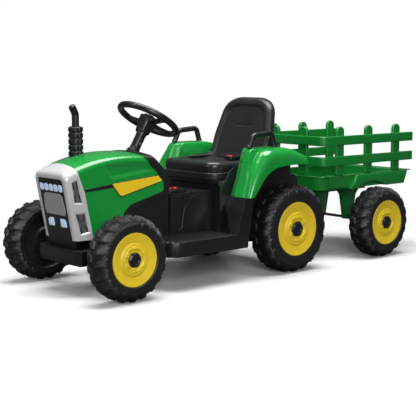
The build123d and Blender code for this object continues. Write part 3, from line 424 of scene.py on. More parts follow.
# Steel: the axles, steering shaft, tie rod, bolt and hitch pin are bright zinc-plated bar, and the
# subframe and knuckles are welded from plate and painted black.
def bar_steel(name, colour, roughness, metallic, scratch):
    """Rolled steel: long fine scratches across the shine, from a noise squeezed along one way."""
    material = bpy.data.materials.new(name)
    material.use_nodes = True
    tree = material.node_tree
    shader = tree.nodes["Principled BSDF"]
    place, squeeze, lines, gloss, bump = added(tree, "TexCoord", "Mapping", "TexNoise", "MapRange", "Bump")
    squeeze.inputs["Scale"].default_value = (1.0, 0.08, 1.0)
    lines.inputs["Scale"].default_value = 260.0
    gloss.inputs["To Min"].default_value = roughness - scratch
    gloss.inputs["To Max"].default_value = roughness + scratch
    bump.inputs["Distance"].default_value = 0.00003
    wired(tree,
          (place, "Object", squeeze, "Vector"), (squeeze, "Vector", lines, "Vector"),
          (lines, "Fac", gloss, "Value"), (gloss, "Result", shader, "Roughness"),
          (lines, "Fac", bump, "Height"), (bump, "Normal", shader, "Normal"))
    shader.inputs["Base Color"].default_value = (*colour, 1.0)
    shader.inputs["Metallic"].default_value = metallic
    return material


def wear(material, *names):
    """The CAD nodes of these names take the material."""
    for name in names:
        mesh = nodes[name].data
        mesh.materials.clear()
        mesh.materials.append(material)


zinc = bar_steel("zinc_plate", (0.55, 0.55, 0.56), 0.32, 1.0, 0.1)
chassis_paint = bar_steel("chassis_paint", (0.012, 0.012, 0.013), 0.4, 0.0, 0.08)
axle_steel = bar_steel("axle_steel", (0.1, 0.09, 0.08), 0.4, 1.0, 0.1)
wear(zinc, "steering_shaft", "steering_bolt", "tie_rod", "hitch_pin")
wear(axle_steel, "rear_axle", "trailer_axle")
wear(chassis_paint, "front_subframe", "knuckle_left", "knuckle_right")


# Lower body: one black moulding with a fine spark-eroded grain, its edges rounded. The bumper, cowl,
# pan and collar are the same plastic, and the motors and battery inside are duller.
def soft_edged(name, node, width, material, body="tractor"):
    """A copy of a CAD node with its flat faces joined up and its edges rounded by a small bevel."""
    shape = bmesh.new()
    shape.from_mesh(nodes[node].data)
    bmesh.ops.remove_doubles(shape, verts=shape.verts, dist=1e-6)
    bmesh.ops.dissolve_limit(shape, angle_limit=math.radians(1.0), verts=shape.verts, edges=shape.edges)
    mesh = bpy.data.meshes.new(name)
    shape.to_mesh(mesh)
    shape.free()
    mesh.shade_smooth()
    mesh.materials.clear()
    mesh.materials.append(material)
    piece = bpy.data.objects.new(name, mesh)
    scene.collection.objects.link(piece)
    bevel = piece.modifiers.new("edges", "BEVEL")
    bevel.width = width
    bevel.segments = 3
    bevel.limit_method = "ANGLE"
    bevel.angle_limit = math.radians(30)
    bevel.harden_normals = True
    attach(piece, body)
    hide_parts(node)


def swept(path, across, section):
    """A section carried along a flat path; across is the unit normal of the path's plane.

    section holds points (sideways, along the normal), one set for all stations or one for each.
    """
    path = np.asarray(path, float)
    if np.allclose(path[0], path[-1]):
        ahead = np.roll(path[:-1], -1, axis=0) - np.roll(path[:-1], 1, axis=0)
        ahead = np.concatenate([ahead, ahead[:1]])
    else:
        ahead = np.gradient(path, axis=0)
    ahead = ahead / np.linalg.norm(ahead, axis=1, keepdims=True)
    across = np.asarray(across, float)
    sideways = np.cross(ahead, across)[:, None]
    section = np.broadcast_to(section, (len(path), *np.shape(section)[-2:]))
    return path[:, None] + section[..., :1] * sideways + section[..., 1:] * across


def ring(radius, count=24):
    """Points of a circle."""
    angle = turns(count)
    return radius * np.stack([np.cos(angle), np.sin(angle)], axis=1)


def rounded_loop(corners, radius):
    """A closed outline through the corners, rounded there by one radius or a list of them."""
    corners = np.asarray(corners, float)
    start = (corners[-1] + corners[0]) / 2
    radii = np.broadcast_to(radius, len(corners))
    return rounded_path([start, *corners, start], radii)[:-1]


def inset_of(outline):
    """For each point of a closed outline, the move that draws all its sides in by one."""
    ahead = np.roll(outline, -1, axis=0) - outline
    ahead /= np.linalg.norm(ahead, axis=1, keepdims=True)
    both = ahead + np.roll(ahead, 1, axis=0)
    turning = np.sum(outline[:, 0] * np.roll(outline[:, 1], -1) - outline[:, 1] * np.roll(outline[:, 0], -1))
    inward = np.stack([-both[:, 1], both[:, 0]], axis=1) * np.sign(turning)
    return 2 * inward / np.sum(both**2, axis=1, keepdims=True)


def plate_edge(low, high, edge):
    """Edge profile of a plate, (inset, level), with both edges rounded."""
    return rounded_path([(1.2 * edge, low), (0, low), (0, high), (1.2 * edge, high)], [edge * 0.98, edge * 0.98])


def slab(outline, profile, dome=0.0, rows=5):
    """A closed plate over a flat outline, as (u, v, level): its edge follows the profile.

    Inside the profile's last inset the front swells by dome towards the middle.
    """
    outline, profile = np.asarray(outline, float), np.asarray(profile, float)
    rings = outline + profile[:, :1, None] * inset_of(outline)
    levels = profile[:, 1]
    middle = outline.mean(axis=0)
    share = np.linspace(1, 0, rows + 1)[1:, None, None]
    front = middle + share * (rings[-1] - middle)
    back = middle + share[::-1] * (rings[0] - middle)
    swell = levels[-1] + dome * (1 - share[:, 0, 0] ** 2)
    rings = np.concatenate([back, rings, front])
    levels = np.concatenate([np.full(rows, levels[0]), levels, swell])[:, None, None]
    return np.concatenate([rings, np.broadcast_to(levels, (*rings.shape[:2], 1))], axis=2)


def along_side(path, y):
    """A line in the upright plane at y, from points (x, z) with x counted from the rear axle."""
    return np.stack([rear_x + path[:, 0], np.full(len(path), y), path[:, 1]], axis=1)


rear_x, trailer_x = ((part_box(axle)[0][0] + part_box(axle)[1][0]) / 2 for axle in ("rear_axle", "trailer_axle"))
nose_x = rear_x + 0.724
dash_x = rear_x + 0.465
body_black = moulded("body_black", (0.006, 0.006, 0.0066), 0.34, shade=0.1, patchiness=0.06,
                     grain=900.0)
motor_grey = moulded("motor_grey", (0.06, 0.06, 0.06), 0.5)
case_black = moulded("battery_case", (0.02, 0.02, 0.025), 0.45)
for name, node, width, material in (
    ("lower_body", "body_shell", 0.0035, body_black),
    ("bumper", "front_bumper", 0.0035, body_black),
    ("cowl", "dash_cowl", 0.001, body_black),
    ("pan", "underbody_pan", 0.001, body_black),
    ("collar", "column_collar", 0.0015, body_black),
    ("motors", "gear_motors", 0.0015, motor_grey),
    ("battery_case", "battery", 0.0015, case_black),
):
    soft_edged(name, node, width, material)

# Details of the lower body: ribbed footboards, and lines drawn in low beads round the console and
# along the nose box. The right-hand board's ribs stop short of the pedal.
board_rear, board_front, board_inner, board_outer, pedal_rear = 0.2465, 0.4745, 0.1035, 0.212, 0.372
corner_start, corner_radius, rib_step = 0.433, 0.045, 0.0125
board_x = np.linspace(board_rear, board_front, 229)
for hand, side, stop in (("left", 1, board_front), ("right", -1, pedal_rear)):
    x = board_x[board_x <= stop + 1e-6][:, None]
    into_corner = np.minimum(np.maximum(x - corner_start, 0) / corner_radius, 0.999)
    edge = board_outer - corner_radius * (1 - np.sqrt(1 - into_corner**2))
    y = board_inner + np.linspace(0, 1, 30) * (edge - board_inner)
    ridge = ease(0.35, 0.75, 0.5 + 0.5 * np.cos((x - board_rear) * 2 * math.pi / rib_step))
    margin = np.minimum(np.minimum(x - board_rear, stop - x), np.minimum(y - board_inner, edge - y))
    z = 0.1368 + (0.0004 + 0.0016 * ridge) * ease(0.0, 0.003, margin)
    surface(f"{hand}_board_ribs", np.stack([rear_x + x + 0 * y, side * y, z], axis=-1), body_black,
            closed_columns=False, sharp=60)

bead_lines = [
    ("console_frame", 0.0998, [(0.23, 0.246), (0.291, 0.248), (0.313, 0.237), (0.338, 0.237), (0.345, 0.246),
                               (0.384, 0.246)], 0.004),
    ("console_fold", 0.0998, [(0.314, 0.232), (0.336, 0.208), (0.345, 0.15), (0.38, 0.15)], 0.01),
    ("nose_line", 0.0698, [(0.5, 0.15), (0.545, 0.15), (0.56, 0.19), (0.612, 0.182)], 0.01),
]
for name, at, corners, radius in bead_lines:
    path = rounded_path(corners, [radius] * (len(corners) - 2))
    for hand, side in both_hands:
        bead = swept(along_side(path, side * at), (0, 1, 0), ring(0.0011, 10))
        surface(f"{hand}_{name}", bead, body_black, ends=True)

# Body panels: the fenders and hood are glossy green mouldings, coloured right through.
hood_green = moulded("hood_green", (0.004, 0.235, 0.03), 0.24, shade=0.03, patchiness=0.03,
                     grain=250.0, depth=0.00001, coat=0.35)


def fender_points(side):
    """A closed hollow arch: its section runs up the inner wall, over the top and down the outer.

    The flat inner strip ends at a groove that runs inwards towards the back; outside it a bulge
    rolls down into the wall. Each point lies a share of the way from the crown line to the wheel
    arch line below it, and the front is drawn back towards the inner wall.
    """
    inner, outer = 0.1374, 0.2318
    strip = rounded_path([(0.2048, 0.2404), (0.19, 0.28), (0.175, 0.327), (0.158, 0.3766), (0.036, 0.3766),
                          (0.000, 0.366), (-0.0358, 0.347), (-0.0396, 0.3254)],
                         [0.3, 0.3, 0.022, 0.1, 0.1, 0.01])
    bulge = rounded_path([(0.203, 0.2404), (0.1885, 0.28), (0.17, 0.327), (0.128, 0.3764), (0.036, 0.3764),
                          (0.000, 0.366), (-0.0358, 0.347), (-0.0396, 0.3254)],
                         [0.3, 0.3, 0.06, 0.1, 0.1, 0.01])
    arch = rounded_path([(0.1842, 0.2405), (0.165, 0.263), (0.143, 0.292), (0.118, 0.31), (0.093, 0.32),
                         (0.048, 0.325), (-0.0396, 0.3252)], [0.03, 0.1, 0.06, 0.06, 0.1])
    strip, bulge, arch = (evenly(line, 170)[:, None] for line in (strip, bulge, arch))
    room = np.linalg.norm(bulge - arch, axis=2)
    ones = np.ones_like(room)
    groove_at = np.interp(bulge[..., 0], (0.03, 0.12, 0.165, 0.205), (0.178, 0.186, 0.196, 0.21))
    groove_half = 0.0045
    roll = np.minimum(0.03, 0.62 * room)
    over = np.linspace(0, 1, 70)[None]
    over = np.where(over < 0.5, inner + 0.003 + (groove_at - inner - 0.003) * over * 2,
                    groove_at + (outer - groove_at) * (over * 2 - 1))
    from_edge = np.clip((over - (outer - roll)) / roll, 0, 1)
    depth = roll * (1 - np.sqrt(1 - np.minimum(from_edge, 0.9999) ** 2))
    depth = depth + 0.0045 * np.minimum(1, room / 0.05) * (1 - ease(0, groove_half, np.abs(over - groove_at)))
    depth = np.concatenate([ones * 0.003, depth], axis=1)
    across = np.concatenate([ones * inner, over], axis=1)
    sunk = np.minimum(depth / room, 0.97)
    sunk = np.concatenate([ones * 0.985, ones * 0.5, sunk, ones * 0.985, ones, ones], axis=1)
    across = np.concatenate([ones * inner, ones * inner, across, ones * outer, ones * (outer - 0.002),
                             ones * (inner + 0.002)], axis=1)
    groove_at = groove_at + 0 * across
    outside = ease(0, 1, (across - groove_at + groove_half) / (2 * groove_half))[..., None]
    crown = strip * (1 - outside) + bulge * outside
    line = crown + (arch - crown) * sunk[..., None]
    drawn = 0.014 * (1 - ease(inner, 0.172, across)) * ease(0.115, 0.175, line[..., 0]) * (1 - sunk)
    return np.stack([rear_x + line[..., 0] - drawn, side * across, line[..., 1]], axis=-1)


for hand, side in both_hands:
    surface(f"{hand}_fender", fender_points(side), hood_green, ends=True, sharp=50,
            replaces=(f"fender_{hand}",))

# Hood: one green shell, crowned on top, with a pressed panel on each side over the yellow plate.
hood_stations = np.array([-0.32, 0.0, 0.33, 0.52, 0.72, 0.95]) * (nose_x - dash_x) + dash_x
crease_line = np.polyfit(hood_stations, [0.356, 0.366, 0.368, 0.363, 0.35, 0.327], 3)
crown_line = np.polyfit(hood_stations, [0.363, 0.376, 0.377, 0.374, 0.366, 0.341], 3)
rear_limit = np.array([(0.15, 0.636), (0.165, 0.6), (0.19, 0.545), (0.217, 0.537), (0.236, 0.515),
                       (0.266, 0.405), (0.294, 0.406), (0.366, 0.469), (0.378, 0.478)])
front_limit = np.array([(0.15, 0.636), (0.174, 0.641), (0.279, 0.662), (0.338, 0.684), (0.4, 0.688)])


def hood_half(x):
    """Half width of the nose at x: it widens evenly towards the driver."""
    return 0.0756 + 0.06 * (nose_x - x)


def hood_points():
    """The hood as a sheet: rows run round it from one lower edge to the other, columns along it.

    A section drawn once, walls, rounded shoulders and a low crown, is stretched at every station
    to that station's width, shoulder height and crown. Each row then runs between the rear and
    front edges at its own height, found by repeated correction.
    """
    half, foot, crease, crown = 0.085, 0.15, 0.366, 0.376
    sweep = np.linspace(-1, 1, 15)[:, None]
    top = np.hstack([half * 0.99 * sweep, crown - (crown - crease) * sweep**2])
    shoulder = crease - 0.0002
    section = rounded_path([(-half, foot), (-half, shoulder), *top[1:-1], (half, shoulder), (half, foot)],
                           [0.017, *[0] * 13, 0.017])
    run = lengths_along(section)
    wall = crease - 0.019 - foot
    stations = np.concatenate([np.linspace(0, wall, 60), np.linspace(wall, run[-1] - wall, 74)[1:-1],
                               np.linspace(run[-1] - wall, run[-1], 60)])
    section = resample(section, stations)
    w, h = section[:, :1] / half, section[:, 1:]
    share = np.linspace(0, 1, 100)[None]
    x = dash_x + share * (nose_x - dash_x)
    for _ in range(25):
        shoulder, peak = np.polyval(crease_line, x), np.polyval(crown_line, x)
        low = foot + (h - foot) * (shoulder - foot) / (crease - foot)
        z = np.where(h < crease, low, shoulder + (h - crease) * (peak - shoulder) / (crown - crease))
        rear = rear_x + np.interp(z, rear_limit[:, 0], rear_limit[:, 1])
        front = rear_x + np.interp(z, front_limit[:, 0], front_limit[:, 1])
        x = rear + share * (front - rear)
    y = w * hood_half(x)
    panel_front = rear_x + np.interp(z, (0.305, 0.345, 0.36), (0.573, 0.6, 0.606))
    panel_low = 0.3105 + 0.11 * (rear_x + 0.575 - x)
    inside = ease(-0.002, 0.009, panel_front - x) * ease(-0.001, 0.007, z - panel_low)
    inside = inside * (1 - ease(0.338, 0.352, z)) * (np.abs(w) > 0.9)
    y = y - np.sign(w) * 0.0046 * inside
    return np.stack([x, y, z], axis=-1)


hood_grid = hood_points()
hood_sheet = surface("hood", hood_grid, hood_green, closed_columns=False, sharp=60,
                     replaces=("hood_shell",))
hood_wall = hood_sheet.modifiers.new("wall", "SOLIDIFY")
hood_wall.thickness = 0.003
hood_wall.offset = -1.0

# Side trim: a black-edged yellow plate on each side of the hood, with a black stripe in front of it.
badge_yellow = moulded("badge_yellow", (0.76, 0.52, 0.012), 0.3, coat=0.4)
trim_black = moulded("trim_black", (0.008, 0.008, 0.009), 0.3, coat=0.3)
trim = [(0.579, 0.297), (0.552, 0.2625), (0.545, 0.2605), (0.409, 0.2945), (0.424, 0.3115)]
stripe = [(0.577, 0.2965), (0.6615, 0.287), (0.66, 0.2795), (0.571, 0.286)]


def on_wall(loop, grow, level, edge, side, sunk):
    """A plate on the hood's side wall over an outline (x, z), grown inwards and sunk a little."""
    plate = slab(loop + grow * inset_of(loop), plate_edge(0.0, level, edge))
    out = hood_half(plate[..., :1]) - sunk + plate[..., 2:]
    return np.concatenate([plate[..., :1], side * out, plate[..., 1:2]], axis=-1)


for hand, side in both_hands:
    for name, outline, corner, grow, level, edge, sunk, material, stands_for in (
        ("trim_edge", trim, 0.006, -0.0012, 0.0016, 0.0006, 0.0004, trim_black, ("side_badges",)),
        ("trim_plate", trim, 0.004, 0.0012, 0.0024, 0.0006, 0.0004, badge_yellow, ("side_badges",)),
        ("stripe", stripe, 0.0005, 0.0, 0.0008, 0.0003, 0.0003, trim_black, ()),
    ):
        loop = rounded_loop([(rear_x + x, z) for x, z in outline], corner)
        surface(f"{hand}_{name}", on_wall(loop, grow, level, edge, side, sunk), material,
                replaces=stands_for)

# Nose: the silver surround with its four meshed windows, the black grille panel and the lamps.
silver_paint = moulded("silver_paint", (0.6, 0.6, 0.61), 0.32, metallic=0.25, coat=0.2)
grille_black = moulded("grille_black", (0.0075, 0.0075, 0.008), 0.4)
mesh_grey = moulded("mesh_grey", (0.085, 0.085, 0.088), 0.45)
mesh_tree = mesh_grey.node_tree
mesh_place, mesh_cells, mesh_bump = added(mesh_tree, "TexCoord", "TexVoronoi", "Bump")
mesh_cells.inputs["Scale"].default_value = 420.0
mesh_cells.inputs["Randomness"].default_value = 0.0
mesh_bump.inputs["Distance"].default_value = 0.0012
wired(mesh_tree,
      (mesh_place, "Object", mesh_cells, "Vector"), (mesh_cells, "Distance", mesh_bump, "Height"),
      (mesh_bump, "Normal", mesh_tree.nodes["Principled BSDF"], "Normal"))
wear(grille_black, "grille_panel")

face_low, face_high = np.array((nose_x - 0.034, 0.147)), np.array((nose_x, 0.33))
face_up = (face_high - face_low) / np.linalg.norm(face_high - face_low)
face_out = np.array((face_up[1], -face_up[0]))
face_seat = face_low - 0.0033 * face_out


def on_face(points):
    """Places (across, up the face, out) on the leaning grille panel."""
    x = face_seat[0] + points[..., 1] * face_up[0] + points[..., 2] * face_out[0]
    z = face_seat[1] + points[..., 1] * face_up[1] + points[..., 2] * face_out[1]
    return np.stack([x, points[..., 0], z], axis=-1)


def box_corners(left, right, low, high):
    """The four corners of an upright rectangle."""
    return [(left, low), (right, low), (right, high), (left, high)]


windows = [
    [(-0.0215, 0.308), (-0.043, 0.318), (-0.0595, 0.248), (-0.0305, 0.25)],
    [(-0.0325, 0.225), (-0.0665, 0.225), (-0.079, 0.17), (-0.049, 0.164)],
]


def inside_convex(corners, x, z):
    """Distance in from the nearest side of a convex outline, negative outside."""
    corners = np.asarray(corners, float)
    nearest = np.full(np.broadcast(x, z).shape, 1.0)
    turning = np.sign(np.cross(corners[1] - corners[0], corners[2] - corners[1]))
    for start, end in zip(corners, np.roll(corners, -1, axis=0)):
        run = (end - start) / np.linalg.norm(end - start)
        nearest = np.minimum(nearest, turning * (run[0] * (z - start[1]) - run[1] * (x - start[0])))
    return nearest


def surround_points():
    """The surround as a sheet from the hood's front edge to a lip inside the face's opening.

    Each row starts on the hood's edge, runs straight to the rim of the leaning face, turns the
    corner on a curve, crosses the face and goes back in. Both walls are pressed in at the windows.
    """
    walls, arch = 260, 90
    hood_edge = hood_grid[:, -1]
    spread = np.concatenate([np.linspace(0, 59, walls), np.linspace(59, 132, arch)[1:-1],
                             np.linspace(132, len(hood_edge) - 1, walls)])
    back = resample(hood_edge, np.interp(spread, np.arange(len(hood_edge)), lengths_along(hood_edge)))
    back[:, 0] += 0.0004
    back[:, 1] *= 1.006
    rim = rounded_path([(-0.0756, 0.15), (-0.0756, 0.33), (0.0756, 0.33), (0.0756, 0.15)], [0.02, 0.02])
    length = lengths_along(rim)[-1]
    wall = 0.33 - 0.02 - 0.15
    stations = np.concatenate([np.linspace(0, wall, walls), np.linspace(wall, length - wall, arch)[1:-1],
                               np.linspace(length - wall, length, walls)])
    rim = resample(rim, stations)
    inner = rounded_path([(-0.06, 0.15), (-0.06, 0.3155), (0.06, 0.3155), (0.06, 0.15)], [0.01, 0.01])
    inner_length = lengths_along(inner)[-1]
    inner = resample(inner, stations / length * inner_length)

    def on_lean(flat, behind):
        x = face_low[0] + (flat[:, 1] - face_low[1]) * face_up[0] / face_up[1] - behind
        return np.stack([x, flat[:, 0], flat[:, 1]], axis=1)

    front, lip, inside = on_lean(rim, 0.0), on_lean(inner, 0.0), on_lean(inner, 0.003)
    round_by = 0.013
    to_back = (back - front) / np.linalg.norm(back - front, axis=1, keepdims=True)
    to_lip = (lip - front) / np.linalg.norm(lip - front, axis=1, keepdims=True)
    share = np.linspace(0, 1, 90)[:, None, None]
    wall_grid = back + share * (front + round_by * to_back - back)
    turn = np.linspace(0, 1, 14)[1:, None, None]
    corner = front + round_by * ((1 - turn) ** 2 * to_back + turn**2 * to_lip)
    face = corner[-1] + np.linspace(0, 1, 6)[1:, None, None] * (lip - corner[-1])
    grid = np.concatenate([wall_grid, corner, face, inside[None]]).transpose(1, 0, 2)
    for window in windows:
        pressed = ease(0.0, 0.0042, inside_convex(window, grid[..., 0] - nose_x, grid[..., 2]))
        side_on = np.abs(grid[..., 1]) > 0.07
        grid[..., 1] -= np.sign(grid[..., 1]) * 0.0042 * pressed * side_on
    return grid


surround = surface("surround", surround_points(), silver_paint, closed_columns=False, sharp=70,
                   replaces=("grille_surround",))
surround_wall = surround.modifiers.new("wall", "SOLIDIFY")
surround_wall.thickness = 0.0024
surround_wall.offset = -1.0
for number, window in enumerate(windows):
    loop = rounded_loop([(nose_x + x, z) for x, z in window], 0.003)
    for hand, side in both_hands:
        surface(f"{hand}_screen_{number}", on_wall(loop, 0.004, 0.0008, 0.0003, side, 0.0046), mesh_grey,
                replaces=("side_screens",))

bar_dark = moulded("bar_dark", (0.02, 0.022, 0.026), 0.2, coat=0.5)
plate_grey = moulded("plate_grey", (0.3, 0.3, 0.3), 0.36)
lamp_glass = moulded("lamp_glass", (0.42, 0.58, 0.8), 0.12, shade=0.1, coat=0.6)
lamp_shader = lamp_glass.node_tree.nodes["Principled BSDF"]
lamp_shader.inputs["Emission Color"].default_value = (0.72, 0.88, 1.0, 1.0)
lamp_shader.inputs["Emission Strength"].default_value = 0.22
bar_loop = rounded_loop(box_corners(-0.0568, 0.0568, 0.1338, 0.1582), 0.005)
surface("light_bar_case", on_face(slab(bar_loop, plate_edge(0.0, 0.003, 0.0012))), bar_dark,
        replaces=("light_bar",))
for number in range(5):
    across = (number - 2) * 0.0222
    lens = slab(rounded_loop(box_corners(across - 0.0098, across + 0.0098, 0.1362, 0.1558), 0.006),
                plate_edge(0.0, 0.0036, 0.0012), dome=0.0004)
    surface(f"lens_{number}", on_face(lens), lamp_glass)
plate_loop = rounded_loop([(-0.044, 0.07), (0.044, 0.07), (0.049, 0.084), (0.043, 0.124), (0.034, 0.13),
                           (-0.034, 0.13), (-0.043, 0.124), (-0.049, 0.084)], 0.004)
surface("grille_plate", on_face(slab(plate_loop, plate_edge(0.0, 0.003, 0.0012))), plate_grey,
        replaces=("radiator_plate",))
low_lamp = [(0.017, 0.037), (0.042, 0.037), (0.042, 0.053), (0.034, 0.06), (0.017, 0.06)]
for hand, side in both_hands:
    loop = rounded_loop([(side * across, up) for across, up in low_lamp], 0.003)
    lamp = slab(loop, plate_edge(0.0, 0.0034, 0.0012), dome=0.0008)
    surface(f"{hand}_low_lamp", on_face(lamp), lamp_glass, replaces=("lower_lamps",))

# Controls: the steering wheel with its three spokes, hub and column sleeve, the horn button, the
# switch panel, the pedal, the power button and the direction rocker.
column_up = np.array((-0.5195, 0.0, 0.8545))
column_x = np.array((0.8545, 0.0, 0.5195))
wheel_middle = np.array((rear_x + 0.385, 0.0, 0.462))
rim_radius, rim_thickness = 0.0858, 0.0094


def on_column(points):
    """Places (forward along the rim's plane, left, up the column) about the rim's centre."""
    return wheel_middle + points @ np.array([column_x, (0.0, 1.0, 0.0), column_up])


angle = turns(120)[:, None]
section = ring(rim_thickness, 28)
far = rim_radius + section[:, 0]
rim_grid = np.stack([far * np.cos(angle), far * np.sin(angle), section[:, 1] + 0 * angle], axis=-1)
surface("wheel_rim", on_column(rim_grid), body_black, "steering", closed_rows=True, replaces=("steering_wheel",))
out = np.linspace(0.012, 0.083, 40)
high = 0.0058 - 0.0012 * ease(0.03, 0.06, out) + 0.0012 * ease(0.065, 0.083, out)
oval = np.sign(ring(1.0, 32)) * np.abs(ring(1.0, 32)) ** 0.7
dip = -0.006 * (1 - ease(0.03, 0.075, out))[:, None]
for name, heading, half in (("left_spoke", math.pi / 2, 0.014), ("right_spoke", -math.pi / 2, 0.014),
                            ("lower_spoke", math.pi, 0.016)):
    wide = half * (0.72 + 0.28 * ease(0.055, 0.08, out) + 0.28 * (1 - ease(0.012, 0.035, out)))
    section = oval * np.stack([wide, high], axis=1)[:, None]
    spoke = np.stack([out[:, None] * math.cos(heading) - section[..., 0] * math.sin(heading),
                      out[:, None] * math.sin(heading) + section[..., 0] * math.cos(heading),
                      section[..., 1] + dip], axis=-1)
    surface(name, on_column(spoke), body_black, "steering", ends=True)
hub_loop = rounded_loop(box_corners(-0.02, 0.02, -0.023, 0.023), 0.01)
hub_profile = rounded_path([(0.0095, -0.046), (0.006, -0.046), (0.0, -0.012), (0.0, 0.008), (0.0045, 0.008),
                            (0.0045, 0.0045), (0.006, 0.0045)], [0.004, 0.02, 0.0025, 0.001, 0.0])
surface("wheel_hub", on_column(slab(hub_loop, hub_profile, rows=6)), body_black, "steering", sharp=50)
sleeve = rounded_path([(0.005, -0.0918), (0.0145, -0.0918), (0.0145, -0.052), (0.0175, -0.036)], [0.0012, 0.01])
turn = turns(40)
sleeve = np.stack([sleeve[:, :1] * np.cos(turn), sleeve[:, :1] * np.sin(turn), sleeve[:, 1:] + 0 * turn], axis=-1)
surface("column_sleeve", on_column(sleeve), body_black, "steering", ends=True, sharp=50)
switch_red = moulded("switch_red", (0.6, 0.01, 0.01), 0.3)
soft_edged("horn", "horn_button", 0.0015, body_black, "horn")
soft_edged("switch_panel", "control_panel", 0.0015, body_black)
soft_edged("pedal_plate", "pedal", 0.0015, body_black, "pedal")
soft_edged("power_key", "power_button", 0.0015, switch_red, "power_button")
soft_edged("rocker_key", "direction_rocker", 0.001, switch_red, "direction_rocker")

# Exhaust: a muffler with five notched ribs that stands through the hood, and a tail pipe bent
# forwards, its tip rounded off.
stack_x, stack_y = nose_x - 0.11, -0.03
muffler_foot, muffler_top, muffler_radius, rounding = 0.35, 0.4498, 0.0178, 0.0045
rib_foot, rib_spacing, rib_reach = 0.366, 0.0167, 0.0027
climb = np.linspace(muffler_foot, muffler_top, 240)
in_rib = np.clip((climb - rib_foot) / rib_spacing, 0, 4.999) % 1
rib = ease(0.0, 0.22, in_rib) * (1 - ease(0.74, 0.96, in_rib)) * (climb > rib_foot + 0.0001)
core = muffler_radius * np.sqrt(1 - 0.7 * np.clip((climb - 0.4455) / rounding, 0, 1) ** 2)
angle = turns(96)[None]
notch = 1 - 0.55 * ease(0.55, 0.9, np.cos(4 * angle + math.pi / 4))
reach = core[:, None] + rib_reach * rib[:, None] * notch
muffler = np.stack([stack_x + reach * np.cos(angle), stack_y + reach * np.sin(angle), climb[:, None] + 0 * reach],
                   axis=-1)
surface("muffler", muffler, body_black, ends=True, sharp=50, replaces=("exhaust_stack",))
bend = rounded_path([(0, 0.44), (0, 0.482), (0.0128, 0.5075)], [0.022])
pipe_line = evenly(np.stack([stack_x + bend[:, 0], np.full(len(bend), stack_y), bend[:, 1]], axis=1), 90)
to_tip = lengths_along(pipe_line)[-1] - lengths_along(pipe_line)
pipe_radius = 0.01 * np.sqrt(1 - (1 - np.clip(to_tip / 0.006, 0, 1)) ** 2.5)
surface("tail_pipe", swept(pipe_line, (0, 1, 0), pipe_radius[:, None, None] * ring(1.0)), body_black,
        ends=True, sharp=60)

# Armrests: a black tube bent over the top of each fender, with a collar at each foot.
rest_foot = 0.3773
rest_path = rounded_path([(0.148, rest_foot), (0.131, 0.413), (0.058, 0.418), (0.046, rest_foot)], [0.015, 0.015])
for hand, side in both_hands:
    line = evenly(along_side(rest_path, side * 0.17), 120)
    run = lengths_along(line)
    thick = 0.0083 + 0.0012 * (1 - ease(0.003, 0.006, np.minimum(run, run[-1] - run)))
    tube = swept(line, (0, 1, 0), thick[:, None, None] * ring(1.0))
    tube[..., 2] = np.maximum(tube[..., 2], rest_foot)
    surface(f"{hand}_armrest", tube, body_black, ends=True, sharp=50, replaces=("armrests",))

# Seat: a hard moulded cushion with a rolled edge over a lower deck, and a leaning back with a raised
# border and a rounded head.
seat_black = moulded("seat_black", (0.012, 0.012, 0.0118), 0.34, grain=600.0, depth=0.00004)
from_rear_axle = np.array((rear_x, 0, 0))
seat_loop = rounded_loop(box_corners(0.059, 0.247, -0.1219, 0.1219), 0.04)
seat_edge = rounded_path([(0.03, 0.2853), (0.0, 0.2853), (0.0, 0.304), (0.0045, 0.306), (0.003, 0.309),
                          (0.001, 0.3372), (0.035, 0.3372)], [0.003, 0.003, 0.001, 0.002, 0.015])
pad = slab(seat_loop, seat_edge, rows=24)
dip = ease(0.0, 0.03, 0.105 - np.hypot(0.9 * pad[..., 1], 1.05 * (pad[..., 0] - 0.15)))
pad[..., 2] -= 0.007 * dip * (pad[..., 2] > 0.33)
surface("seat_pad", from_rear_axle + pad, seat_black, sharp=60, replaces=("seat_cushion",))

back_front = np.array([(0.2853, 0.0575), (0.3, 0.0575), (0.372, 0.035), (0.51, -0.006), (0.518, -0.009)])
back_rear = np.array([(0.2853, 0.022), (0.34, 0.014), (0.508, -0.034), (0.518, -0.0365)])
back_loop = rounded_loop([(-0.1255, 0.2855), (0.1255, 0.2855), (0.124, 0.4), (0.104, 0.498),
                          (0.055, 0.5178), (-0.055, 0.5178), (-0.104, 0.498), (-0.124, 0.4)],
                         [0.018, 0.018, 0.1, 0.055, 0.1, 0.1, 0.055, 0.1])
back_thick = 0.032
back_rows = 60
back_edge = rounded_path([(0.016, 0.0), (0.0, 0.0), (0.0, back_thick), (0.016, back_thick)], [0.011, 0.013])
back_pad = slab(back_loop, back_edge, rows=back_rows)
forward, across_back, height = back_pad[..., 2:] / back_thick, back_pad[..., :1], back_pad[..., 1:2]
share = np.zeros(len(back_pad))
share[-back_rows:] = ease(0.03, 0.11, np.linspace(0, 1, back_rows + 1)[1:])
border = share[:, None, None] * ease(0.33, 0.35, height)
crease = (1 - ease(0.0, 0.004, np.abs(height - 0.433))) * (1 - ease(0.035, 0.045, np.abs(across_back)))
front_line = np.interp(height, back_front[:, 0], back_front[:, 1]) - 0.0045 * border - 0.002 * crease
rear_line = np.interp(height, back_rear[:, 0], back_rear[:, 1])
back_place = rear_x + rear_line + forward * (front_line - rear_line)
surface("seat_rest", np.concatenate([back_place, across_back, height], axis=-1), seat_black, sharp=60,
        replaces=("seat_back",))

